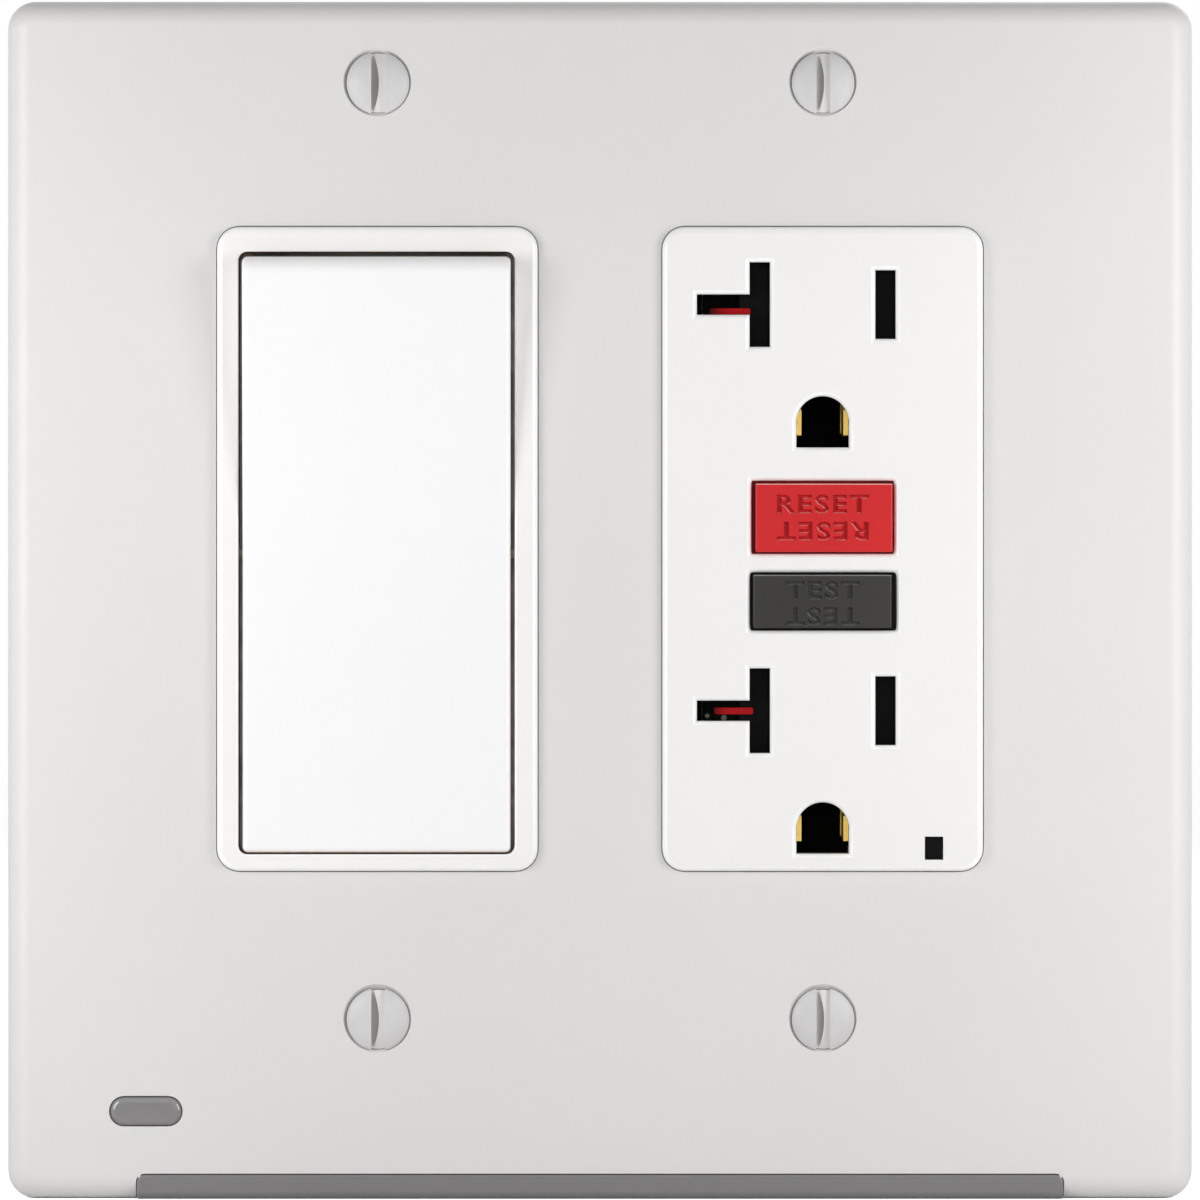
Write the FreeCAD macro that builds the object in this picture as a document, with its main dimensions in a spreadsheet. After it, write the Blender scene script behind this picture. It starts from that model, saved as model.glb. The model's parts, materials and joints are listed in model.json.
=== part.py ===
"""Two-gang night light wall plate, fitted over a rocker switch and a test and reset receptacle.

The wall is the plane y = 0 and the room is on the side of negative y, so a depth is a height
in front of the wall. X runs to the right and Z runs up. The origin is the centre of the four
slots that the box screws go through. Lengths are in millimetres and angles in degrees.
"""
import FreeCAD, Part
import math
import os

import Sketcher

LAMPS = 6

SIZES = {
    # Wall plate
    "plate_width": "=gang_spacing + device_width + 2 * plate_side",
    "plate_height": "=plate_top + screw_row + plate_below",
    "plate_top": "=screw_row + plate_above",
    "plate_depth": "=device_front - device_proud",
    "plate_wall": 2.2,
    "plate_side_wall": 2.0,
    "plate_corner": "=plate_round + plate_corner_more",
    "plate_round": 2.4,
    "plate_corner_more": 0.5,
    "plate_side": 21.73,
    "plate_above": 8.38,
    "plate_below": 18.68,
    "plate_rib": 1.2,
    "boss_radius": 4.4,
    # Screws through the plate
    "gang_spacing": "=device_width + gang_gap",
    "gang_gap": 12.94,
    "screw_row": "=box_row + screw_beyond",
    "screw_beyond": 6.77,
    "screw_head": 3.42,
    "screw_shank": 1.75,
    "screw_dome": 0.9,
    "screw_cone": 82.0,
    "screw_length": 16.0,
    "screw_slot": 1.4,
    "screw_slot_deep": 1.2,
    "screw_room": 0.2,
    # Both devices
    "device_width": "=2 * (slot_across + tee_reach + slot_side)",
    "device_height": "=face_top + neutral_tall / 2 + outlet_pitch + ground_below + ground_foot + face_foot",
    "device_corner": 2.3,
    "device_front": "=strap_thick + frame_thick + shutter_room + shutter_thick + shutter_clear + face_wall",
    "device_proud": 0.9,
    "device_round": 0.7,
    "device_gap": 0.15,
    "strap_thick": 1.4,
    "strap_width": "=device_width - 2 * strap_inset",
    "strap_length": "=2 * (screw_row + strap_beyond)",
    "strap_shoulder": "=ground_down + ground_edge",
    "strap_neck": 18.0,
    "strap_ear": 8.4,
    "strap_clip": 2.0,
    "strap_window_width": "=device_width - 2 * strap_side",
    "strap_window_height": "=device_height - 2 * strap_end",
    "strap_inset": 0.25,
    "strap_beyond": 4.78,
    "strap_side": 3.35,
    "strap_end": 1.8,
    "ground_edge": 3.0,
    "strap_room": 0.4,
    "score_wide": 0.5,
    "score_deep": 0.4,
    "box_row": "=device_height / 2 + box_beyond",
    "box_beyond": 8.35,
    "box_slot": 7.0,
    "box_slot_radius": 2.0,
    # Ground screws on the straps
    "ground_across": 11.5,
    "ground_down": "=device_height / 2 + ground_head + ground_gap",
    "ground_gap": 0.1,
    "ground_head": 3.6,
    "ground_head_thick": 1.6,
    "ground_shank": 1.75,
    # Rocker switch
    "opening_width": "=device_width - 2 * bezel_side",
    "opening_height": "=device_height - 2 * bezel_end",
    "bezel_side": 2.25,
    "bezel_end": 2.1,
    "opening_drop": 0.4,
    "opening_corner": 0.8,
    "paddle_side_gap": 0.35,
    "paddle_end_gap": 0.3,
    "paddle_wall": 1.8,
    "paddle_side_wall": 1.6,
    "paddle_end_round": 1.8,
    "throw": 6.0,
    "pivot_depth": "=device_front - pivot_drop",
    "pivot_drop": 3.0,
    "pivot_radius": 1.25,
    "pivot_room": 0.05,
    "pivot_length": 1.6,
    "skirt_back": (
        "=pivot_depth - strap_thick - skirt_room"
        " - (opening_height / 2 - paddle_end_gap) * tan(throw * 1 deg / 2)"
    ),
    "skirt_middle": "=pivot_depth - strap_thick - skirt_middle_room",
    "skirt_room": 0.38,
    "skirt_middle_room": 0.6,
    "plunger_tube": 2.9,
    "plunger_bore": 2.1,
    "plunger_reach": 5.4,
    "rocker_spring_radius": 1.5,
    "spring_wire": 0.5,
    "lever_depth": 11.0,
    "lever_length": 18.0,
    "lever_width": 8.0,
    "lever_thick": 1.0,
    "lever_gear": 2.0,
    "contact_radius": 1.6,
    "contact_inset": 0.2,
    "contact_thick": 0.7,
    "contact_room": 0.15,
    "lever_nub": 1.1,
    "lever_pivot": 0.5,
    "switch_flange": 2.5,
    "switch_flange_height": "=device_height - 2 * switch_flange_end",
    "switch_flange_end": 0.8,
    "switch_terminal_up": 14.5,
    "switch_terminal_deep": 9.0,
    "switch_body_width": "=device_width - 2 * switch_body_side",
    "switch_body_height": "=device_height - 2 * switch_body_end",
    "switch_body_deep": "=lever_depth + lever_room + housing_wall",
    "switch_body_side": 2.95,
    "switch_body_end": 3.3,
    "lever_room": 11.0,
    "housing_wall": 2.0,
    "housing_round": 1.5,
    # Receptacle face
    "face_wall": 2.2,
    "face_side_wall": 1.8,
    "upper_outlet": "=device_height / 2 - face_top - neutral_tall / 2",
    "outlet_pitch": (
        "=ground_below + ground_foot + above_reset + reset_height + test_height"
        " + 4 * button_room + button_bridge + below_test + neutral_tall / 2"
    ),
    "face_top": 3.525,
    "face_foot": 1.93,
    "slot_side": 3.55,
    "slot_across": 6.5,
    "neutral_tall": 8.75,
    "hot_tall": 7.1,
    "slot_wide": 2.1,
    "tee_reach": 6.5,
    "ground_below": 12.2,
    "ground_hole": 2.73,
    "ground_hole_tall": 5.3,
    "ground_foot": "=ground_hole_tall - ground_hole",
    "slot_bevel": 0.45,
    "reset_up": "=upper_outlet - ground_below - ground_foot - above_reset - button_room - reset_height / 2",
    "above_reset": 3.48,
    "button_bridge": 1.95,
    "below_test": 3.925,
    "reset_width": 14.2,
    "reset_height": 7.0,
    "test_down": "=reset_height / 2 + 2 * button_room + button_bridge + test_height / 2 - reset_up",
    "test_width": 14.4,
    "test_height": 5.5,
    "button_room": 0.25,
    "button_round": 0.5,
    "button_proud": 0.2,
    "button_travel": 1.0,
    "button_flange": 1.0,
    "button_flange_thick": 1.0,
    "button_corner": 0.4,
    "window_across": "=device_width / 2 - window_side",
    "window_down": "=device_height / 2 - window_foot",
    "window_side": 5.05,
    "window_foot": 2.5,
    "window_width": 1.9,
    "window_height": 2.4,
    # Behind the receptacle face
    "frame_thick": 1.6,
    "frame_width": "=device_width - 2 * face_side_wall - 2 * frame_gap",
    "frame_height": "=device_height - 2 * face_side_wall - 2 * frame_end_gap",
    "frame_gap": 0.35,
    "frame_end_gap": 0.5,
    "frame_room": 0.3,
    "reset_pin": 1.4,
    "reset_pin_back": "=leaf_back - button_travel - pin_room",
    "pin_room": 0.4,
    "reset_cup": 3.6,
    "reset_cup_bore": 2.8,
    "reset_cup_back": "=leaf_back - cup_room",
    "cup_room": 3.0,
    "reset_spring_radius": 2.2,
    "test_leaf": 0.25,
    "post_across": "=device_width / 2 - post_edge",
    "post_up": "=device_height / 2 - post_end",
    "post_edge": 1.4,
    "post_end": 3.1,
    "post_height": 3.2,
    "post_wall": 0.35,
    "post_bore": 0.7,
    "post_deep": 3.2,
    "post_head": 1.4,
    "post_head_thick": 0.8,
    "shutter_thick": 1.7,
    "shutter_room": 0.15,
    "shutter_tall": "=neutral_tall + 2 * shutter_end",
    "shutter_left": "=slot_across + tee_reach + shutter_cover",
    "shutter_right": "=slot_across + slot_wide / 2 + shutter_lap",
    "shutter_travel": "=slot_wide + shutter_land",
    "shutter_clear": 0.35,
    "shutter_end": 0.525,
    "shutter_cover": 0.9,
    "shutter_lap": 1.65,
    "shutter_land": 1.1,
    "shutter_leaf_back": 0.375,
    "leaf": 0.5,
    "blade": 1.5,
    "leaf_tall": 6.0,
    "leaf_top": 2.4,
    "leaf_back": 8.0,
    "bus_thick": 0.8,
    "pin_width": 4.34,
    "pin_leaf_tall": 2.6,
    "terminal_up": "=outlet_pitch - upper_outlet + terminal_drop",
    "terminal_deep": "=leaf_back + terminal_head + terminal_plate",
    "terminal_drop": 4.3,
    "terminal_head": 3.7,
    "terminal_head_thick": 1.6,
    "terminal_shank": 1.9,
    "terminal_plate": 0.8,
    "terminal_plate_tall": 9.0,
    "terminal_room": 0.1,
    "shank_length": 2.85,
    "pin_way_rail": 0.3,
    "wire_hole": 1.0,
    "release_slot": 0.5,
    "release_slot_deep": 1.2,
    "back_panel_width": 16.0,
    "back_panel_height": 30.0,
    "back_panel_deep": 0.4,
    "body_width": "=device_width - 2 * body_inset",
    "body_height": "=device_height - 2 * body_end_inset",
    "body_deep": "=board_deep + board_thick + under_board + body_back_wall",
    "body_cavity": "=body_width - 2 * body_side_wall",
    "body_inset": 0.35,
    "body_end_inset": 0.3,
    "body_side_wall": 3.8,
    "under_board": 5.2,
    "body_end_wall": 2.2,
    "body_back_wall": 2.0,
    "body_round": 1.2,
    "back_round": 0.8,
    "board_thick": 1.2,
    "board_deep": "=leaf_back + bus_thick + 4 * coil_tube + board_room",
    "board_room": 2.8,
    "coil_ring": 6.0,
    "coil_tube": 2.0,
    "trip_radius": 4.4,
    "trip_length": 15.0,
    "plunger_radius": 1.4,
    "plunger_travel": 2.0,
    "plunger_rest": 0.3,
    "capacitor_radius": 2.2,
    "board_capacitor_across": 6.5,
    "board_capacitor_down": "=body_height / 2 - body_end_wall - board_capacitor_end",
    "board_capacitor_end": 3.8,
    "board_capacitor_tall": 6.0,
    # Night light in the foot of the plate
    "bar_width": "=plate_width - 2 * bar_side",
    "bar_side": 13.55,
    "bar_height": 2.5,
    "bar_room": 0.1,
    "bar_back": 2.2,
    "bar_corner": 1.0,
    "bar_flange": 1.0,
    "bar_flange_up": 1.8,
    "light_board_thick": 1.0,
    "light_board_depth": 1.4,
    "light_board_width": "=plate_width - 2 * light_board_side",
    "light_board_height": "=cover_height - light_board_foot - cover_lip",
    "light_board_side": 10.3,
    "light_board_foot": 1.4,
    "cover_lip": 0.6,
    "lamp_pitch": f"=bar_width / {LAMPS}",
    "capacitor_across": "=lamp_pitch",
    "capacitor_width": 8.0,
    "capacitor_height": 4.0,
    "light_board_up": "=plate_below + screw_row - plate_side_wall - strap_room - light_board_foot",
    "lamp_width": 3.5,
    "lamp_height": 2.4,
    "lamp_thick": 1.3,
    "sensor_across": "=plate_width / 2 - sensor_side",
    "sensor_down": "=plate_below + screw_row - sensor_rise",
    "sensor_side": 14.6,
    "sensor_rise": 8.9,
    "sensor_width": 7.46,
    "sensor_height": 3.3,
    "sensor_dome": 0.25,
    "sensor_flange": 0.9,
    "cell_radius": 1.7,
    "cover_thick": 1.0,
    "cover_depth": 0.2,
    "cover_width": "=plate_width - 2 * cover_side",
    "cover_height": "=plate_below - plate_side_wall - strap_room - strap_beyond - cover_gap",
    "cover_side": 7.3,
    "cover_gap": 0.9,
    "cover_screw_across": "=2 * lamp_pitch",
    "cover_screw_down": "=light_board_up - light_board_height / 2",
    "vent_half": 2.6,
    "vent_radius": 0.6,
    "vent_foot": 1.9,
    "cover_screw_radius": 0.9,
    "cover_screw_head": 1.8,
    "slider_across": "=lamp_pitch",
    "slider_down": "=cover_screw_down - slider_rise",
    "slider_rise": 1.0,
    "slider_travel": 4.0,
    "slider_width": 2.4,
    "slider_height": 2.0,
    "slider_room": 0.2,
    "slider_case_wall": 0.6,
    # Arms that reach the receptacle's terminals
    "arm_across": (
        "=device_width / 2 + device_gap + plate_rib + foot_gap"
        " + (foot_width - arm_thick) / 2 - foot_room"
    ),
    "arm_thick": 2.4,
    "arm_tall": 11.0,
    "arm_back": 19.0,
    "foot_width": 4.0,
    "foot_thick": 2.2,
    "foot_room": 0.1,
    "foot_gap": 0.4,
    "strip_thick": 0.4,
    "strip_width": 2.0,
}

FACE = "XZ_Plane"
SIDE = "YZ_Plane"
LEVEL = "XY_Plane"
BEYOND = 1.0

doc = FreeCAD.newDocument("night_light_wall_plate")
sheet = doc.addObject("Spreadsheet::Sheet", "Sizes")
for line, word in enumerate(SIZES, start=1):
    sheet.set(f"A{line}", word)
    sheet.setAlias(f"B{line}", word)
for line, amount in enumerate(SIZES.values(), start=1):
    sheet.set(f"B{line}", str(amount))
doc.recompute()


class Size:
    """A length or an angle that knows its number and the expression it comes from."""

    def __init__(self, number, text):
        self.number = float(number)
        self.text = text

    def __add__(self, other):
        other = as_size(other)
        return Size(self.number + other.number, f"({self.text} + {other.text})")

    def __sub__(self, other):
        other = as_size(other)
        return Size(self.number - other.number, f"({self.text} - {other.text})")

    def __mul__(self, other):
        other = as_size(other)
        return Size(self.number * other.number, f"({self.text} * {other.text})")

    def __truediv__(self, other):
        other = as_size(other)
        return Size(self.number / other.number, f"({self.text} / {other.text})")

    def __radd__(self, other):
        return as_size(other) + self

    def __rsub__(self, other):
        return as_size(other) - self

    def __rmul__(self, other):
        return as_size(other) * self

    def __neg__(self):
        return as_size(0) - self


def as_size(value):
    """Let a plain number stand where a named size may."""
    return value if isinstance(value, Size) else Size(value, repr(float(value)))


def tangent(angle):
    """The tangent of an angle in degrees."""
    return Size(math.tan(math.radians(angle.number)), f"tan({angle.text})")


class Sheet:
    """The named sizes, as attributes, with the numbers that the sheet works out."""

    def __getattr__(self, word):
        return Size(sheet.get(word), f"Sizes.{word}")


s = Sheet()


# Shapes that a sketch can hold

def pin(sketch, kind, geometry, point, value, name):
    """Hold a coordinate of a point, or a radius, at a named value."""
    value = as_size(value)
    if kind == "Radius":
        rule = Sketcher.Constraint("Radius", geometry, value.number)
    else:
        rule = Sketcher.Constraint(kind, -1, 1, geometry, point, value.number)
    index = sketch.addConstraint(rule)
    name = f"{name}{index}"
    sketch.renameConstraint(index, name)
    sketch.setExpression(f"Constraints.{name}", value.text)


def outline(*corners):
    """A closed outline through corners (across, up), or (across, up, radius) where an arc that
    bulges to the right of the way round leads to the next corner."""

    def draw(sketch):
        first = sketch.GeometryCount
        count = len(corners)
        points = [FreeCAD.Vector(as_size(c[0]).number, as_size(c[1]).number, 0) for c in corners]
        starts = []
        for k, corner in enumerate(corners):
            a = points[k]
            b = points[(k + 1) % count]
            if len(corner) == 2:
                edge = Part.LineSegment(a, b)
            else:
                radius = as_size(corner[2]).number
                half = (b - a).Length / 2
                right = FreeCAD.Vector(b.y - a.y, a.x - b.x, 0).normalize()
                rise = abs(radius) - math.sqrt(radius * radius - half * half)
                edge = Part.Arc(a, (a + b) / 2 + right * math.copysign(rise, radius), b)
            sketch.addGeometry(edge, False)
            drawn = sketch.Geometry[first + k]
            starts.append(1 if (drawn.StartPoint - a).Length < 1e-6 else 2)
        for k in range(count):
            after = (k + 1) % count
            joined = Sketcher.Constraint(
                "Coincident", first + k, 3 - starts[k], first + after, starts[after]
            )
            sketch.addConstraint(joined)
        for k, corner in enumerate(corners):
            pin(sketch, "DistanceX", first + k, starts[k], corner[0], "across")
            pin(sketch, "DistanceY", first + k, starts[k], corner[1], "up")
            if len(corner) == 3:
                radius = as_size(corner[2])
                pin(sketch, "Radius", first + k, 0, radius if radius.number > 0 else -radius, "bow")

    return draw


def rectangle(left, right, low, high):
    """A plain rectangle."""
    return outline((left, low), (right, low), (right, high), (left, high))


def middle_rectangle(width, height, across=0, up=0):
    """A plain rectangle about its middle."""
    across, up = as_size(across), as_size(up)
    return rectangle(across - width / 2, across + width / 2, up - height / 2, up + height / 2)


def rounded(left, right, low, high, radius):
    """A rectangle with round corners."""

    def draw(sketch):
        a, b, c, d = (as_size(v).number for v in (left, right, low, high))
        r = as_size(radius).number
        first = sketch.GeometryCount
        up = FreeCAD.Vector(0, 0, 1)
        lines = (
            ((a + r, c), (b - r, c)),
            ((b, c + r), (b, d - r)),
            ((b - r, d), (a + r, d)),
            ((a, d - r), (a, c + r)),
        )
        centres = ((b - r, c + r), (b - r, d - r), (a + r, d - r), (a + r, c + r))
        for start, end in lines:
            sketch.addGeometry(Part.LineSegment(FreeCAD.Vector(*start, 0), FreeCAD.Vector(*end, 0)), False)
        for k, centre in enumerate(centres):
            ring = Part.Circle(FreeCAD.Vector(*centre, 0), up, r)
            turn = (k - 1) * math.pi / 2
            sketch.addGeometry(Part.ArcOfCircle(ring, turn, turn + math.pi / 2), False)
        for k in range(4):
            after = first + (k + 1) % 4
            sketch.addConstraint(Sketcher.Constraint("Tangent", first + k, 2, first + 4 + k, 1))
            sketch.addConstraint(Sketcher.Constraint("Tangent", first + 4 + k, 2, after, 1))
        for k in range(3):
            sketch.addConstraint(Sketcher.Constraint("Equal", first + 4 + k, first + 5 + k))
        for k, kind in enumerate(("Horizontal", "Vertical", "Horizontal", "Vertical")):
            sketch.addConstraint(Sketcher.Constraint(kind, first + k))
        pin(sketch, "DistanceY", first, 1, low, "low")
        pin(sketch, "DistanceX", first + 1, 1, right, "right")
        pin(sketch, "DistanceY", first + 2, 1, high, "high")
        pin(sketch, "DistanceX", first + 3, 1, left, "left")
        pin(sketch, "Radius", first + 4, 0, radius, "corner")

    return draw


def middle_rounded(width, height, radius, across=0, up=0):
    """A rectangle with round corners about its middle."""
    across, up = as_size(across), as_size(up)
    return rounded(
        across - width / 2, across + width / 2, up - height / 2, up + height / 2, radius
    )


def circle(across, up, radius):
    """A full circle."""

    def draw(sketch):
        centre = FreeCAD.Vector(as_size(across).number, as_size(up).number, 0)
        ring = Part.Circle(centre, FreeCAD.Vector(0, 0, 1), as_size(radius).number)
        index = sketch.addGeometry(ring, False)
        pin(sketch, "DistanceX", index, 3, across, "across")
        pin(sketch, "DistanceY", index, 3, up, "up")
        pin(sketch, "Radius", index, 0, radius, "radius")

    return draw


def obround(left, right, up, radius):
    """A level slot with round ends, given the places of its two arc centres."""

    def draw(sketch):
        first = sketch.GeometryCount
        z = as_size(up).number
        r = as_size(radius).number
        ends = [FreeCAD.Vector(as_size(v).number, z, 0) for v in (left, right)]
        high = FreeCAD.Vector(0, r, 0)
        axis = FreeCAD.Vector(0, 0, 1)
        quarter = math.pi / 2
        sketch.addGeometry(Part.ArcOfCircle(Part.Circle(ends[0], axis, r), quarter, 3 * quarter), False)
        sketch.addGeometry(Part.ArcOfCircle(Part.Circle(ends[1], axis, r), -quarter, quarter), False)
        sketch.addGeometry(Part.LineSegment(ends[0] - high, ends[1] - high), False)
        sketch.addGeometry(Part.LineSegment(ends[1] + high, ends[0] + high), False)
        for one, two in ((0, 2), (2, 1), (1, 3), (3, 0)):
            sketch.addConstraint(Sketcher.Constraint("Tangent", first + one, 2, first + two, 1))
        sketch.addConstraint(Sketcher.Constraint("Equal", first, first + 1))
        for index, place in ((first, left), (first + 1, right)):
            pin(sketch, "DistanceX", index, 3, place, "across")
            pin(sketch, "DistanceY", index, 3, up, "up")
        pin(sketch, "Radius", first, 0, radius, "radius")

    return draw


class Piece:
    """One solid piece, built up from sketches on its own planes."""

    def __init__(self, label, across=0, up=0):
        self.body = doc.addObject("PartDesign::Body", label)
        self.body.Label = label
        self.planes = {o.Role: o for o in self.body.Origin.OriginFeatures}
        self.place("x", across)
        self.place("z", up)

    def place(self, axis, value):
        if as_size(value).number:
            self.body.setExpression(f"Placement.Base.{axis}", as_size(value).text)

    def draw(self, name, plane, start, shapes):
        sketch = self.body.newObject("Sketcher::SketchObject", f"{name}_sketch")
        sketch.AttachmentSupport = (self.planes[plane], "")
        sketch.MapMode = "FlatFace"
        sketch.setExpression("AttachmentOffset.Base.z", as_size(start).text)
        for shape in shapes:
            shape(sketch)
        return sketch

    def add(self, name, plane, start, end, *shapes):
        """Add material between two distances out from a plane."""
        sketch = self.draw(name, plane, start, shapes)
        pad = self.body.newObject("PartDesign::Pad", name)
        pad.Profile = sketch
        pad.setExpression("Length", (as_size(end) - start).text)
        return self

    def cut(self, name, plane, start, end, *shapes):
        """Take material away between two distances out from a plane."""
        sketch = self.draw(name, plane, start, shapes)
        pocket = self.body.newObject("PartDesign::Pocket", name)
        pocket.Profile = sketch
        pocket.Reversed = True
        pocket.setExpression("Length", (as_size(end) - start).text)
        return self

    def turn(self, name, plane, shape):
        """Turn a profile round the sketch's upright axis."""
        sketch = self.draw(name, plane, 0, [shape])
        turned = self.body.newObject("PartDesign::Revolution", name)
        turned.Profile = sketch
        turned.ReferenceAxis = (sketch, ["V_Axis"])
        turned.Angle = 360
        return self

    def dress(self, kind, name, setting, size, chosen):
        doc.recompute()
        base = self.body.Tip
        edges = [f"Edge{k}" for k, e in enumerate(base.Shape.Edges, start=1) if chosen(e)]
        if not edges:
            raise RuntimeError(f"{self.body.Label}: no edge for {name}")
        feature = self.body.newObject(kind, name)
        feature.Base = (base, edges)
        feature.setExpression(setting, as_size(size).text)
        return self

    def fillet(self, name, radius, chosen):
        return self.dress("PartDesign::Fillet", name, "Radius", radius, chosen)

    def chamfer(self, name, width, chosen):
        return self.dress("PartDesign::Chamfer", name, "Size", width, chosen)


# Ways to pick edges

def near(value, target):
    return abs(value - as_size(target).number) < 1e-4


def at_depth(depth):
    """Edges that lie at one depth in front of the wall."""
    return lambda e: near(e.BoundBox.YMin, -as_size(depth)) and near(e.BoundBox.YMax, -as_size(depth))


def outer(depth, width):
    """Edges at one depth that lie on or outside a width about the middle."""
    flat = at_depth(depth)
    half = as_size(width).number / 2 - 1e-3
    return lambda e: flat(e) and max(abs(e.BoundBox.XMin), abs(e.BoundBox.XMax)) > half


def inner(depth, width):
    """Edges at one depth that lie inside a width about the middle."""
    flat = at_depth(depth)
    half = as_size(width).number / 2 + 1e-3
    return lambda e: flat(e) and max(abs(e.BoundBox.XMin), abs(e.BoundBox.XMax)) < half


def along(axis):
    """Straight edges that run along one axis."""
    spans = {"x": "XLength", "y": "YLength", "z": "ZLength"}
    others = [v for k, v in spans.items() if k != axis]
    return lambda e: all(getattr(e.BoundBox, o) < 1e-4 for o in others)


def both(*tests):
    return lambda e: all(test(e) for test in tests)


# Plain bodies and groups

def block(label, left, right, shallow, deep, low, high):
    """A box between two places along each axis. The depths are in front of the wall."""
    box = doc.addObject("Part::Box", label)
    box.Label = label
    box.setExpression("Length", (as_size(right) - left).text)
    box.setExpression("Width", (as_size(deep) - shallow).text)
    box.setExpression("Height", (as_size(high) - low).text)
    box.setExpression("Placement.Base.x", as_size(left).text)
    box.setExpression("Placement.Base.y", (-as_size(deep)).text)
    box.setExpression("Placement.Base.z", as_size(low).text)
    return box


ROUND_WAYS = {
    "out": FreeCAD.Rotation(FreeCAD.Vector(1, 0, 0), 90),
    "in": FreeCAD.Rotation(FreeCAD.Vector(1, 0, 0), -90),
    "right": FreeCAD.Rotation(FreeCAD.Vector(0, 1, 0), 90),
    "left": FreeCAD.Rotation(FreeCAD.Vector(0, 1, 0), -90),
    "up": FreeCAD.Rotation(),
}


def stand(thing, way, across, depth, up):
    """Place a round body with its start at a point and its axis along a way."""
    thing.Placement = FreeCAD.Placement(FreeCAD.Vector(), ROUND_WAYS[way])
    thing.setExpression("Placement.Base.x", as_size(across).text)
    thing.setExpression("Placement.Base.y", (-as_size(depth)).text)
    thing.setExpression("Placement.Base.z", as_size(up).text)
    return thing


def rod(label, way, across, depth, up, radius, length):
    """A cylinder that starts at a point and runs one way."""
    shaft = doc.addObject("Part::Cylinder", label)
    shaft.Label = label
    shaft.setExpression("Radius", as_size(radius).text)
    shaft.setExpression("Height", as_size(length).text)
    return stand(shaft, way, across, depth, up)


def cut(label, base, *tools):
    """One body with others taken out of it."""
    tool = tools[0] if len(tools) == 1 else fuse(f"{label}_tools", *tools)
    result = doc.addObject("Part::Cut", label)
    result.Label = label
    result.Base = base
    result.Tool = tool
    return result


def fuse(label, *things):
    """Several bodies made one."""
    result = doc.addObject("Part::MultiFuse", label)
    result.Label = label
    result.Shapes = list(things)
    return result


def group(label, *things):
    """Like pieces that share a node and stay separate solids."""
    result = doc.addObject("Part::Compound", label)
    result.Label = label
    result.Links = list(things)
    return result


def coil(label, way, across, depth, up, radius, length, turns):
    """A compression spring of round wire about a line."""
    helix = doc.addObject("Part::Helix", f"{label}_path")
    helix.setExpression("Radius", as_size(radius).text)
    helix.setExpression("Pitch", (as_size(length) / turns).text)
    helix.setExpression("Height", as_size(length).text)
    section = doc.addObject("Part::Circle", f"{label}_wire")
    section.setExpression("Radius", (s.spring_wire / 2).text)
    section.Placement = FreeCAD.Placement(FreeCAD.Vector(), FreeCAD.Rotation(FreeCAD.Vector(1, 0, 0), 90))
    section.setExpression("Placement.Base.x", as_size(radius).text)
    spring = doc.addObject("Part::Sweep", label)
    spring.Label = label
    spring.Sections = [section]
    spring.Spine = (helix, ["Edge1"])
    spring.Solid = True
    spring.Frenet = True
    return stand(spring, way, across, depth, up)


# Places that several pieces share

LEFT_GANG = -s.gang_spacing / 2
RIGHT_GANG = s.gang_spacing / 2
GANGS = (LEFT_GANG, RIGHT_GANG)
PLATE_LOW = s.plate_top - s.plate_height
PLATE_BACK = s.plate_depth - s.plate_wall
OPENING_WIDTH = s.device_width + 2 * s.device_gap
OPENING_HEIGHT = s.device_height + 2 * s.device_gap
STRAP_FRONT = s.strap_thick
CONE_DEEP = (s.screw_head - s.screw_shank - s.screw_room) / tangent(s.screw_cone / 2)
FACE_BACK = s.device_front - s.face_wall
LOWER_OUTLET = s.upper_outlet - s.outlet_pitch
OUTLETS = {"upper": s.upper_outlet, "lower": LOWER_OUTLET}
SLOT_EDGE = s.slot_across - s.slot_wide / 2
BOARD_FRONT = s.light_board_depth + s.light_board_thick
BOARD_LOW = -s.light_board_up
BOARD_HIGH = BOARD_LOW + s.light_board_height
COVER_SCREWS = (-s.cover_screw_across, as_size(0), s.cover_screw_across)


def light_bar_profile(room):
    """The light bar's section, seen from the side, grown by a clearance."""
    front = s.plate_depth
    low = PLATE_LOW
    high = low + s.bar_height + room
    return rectangle(-front, -(s.bar_back + s.bar_room - room), low, high)


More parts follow.
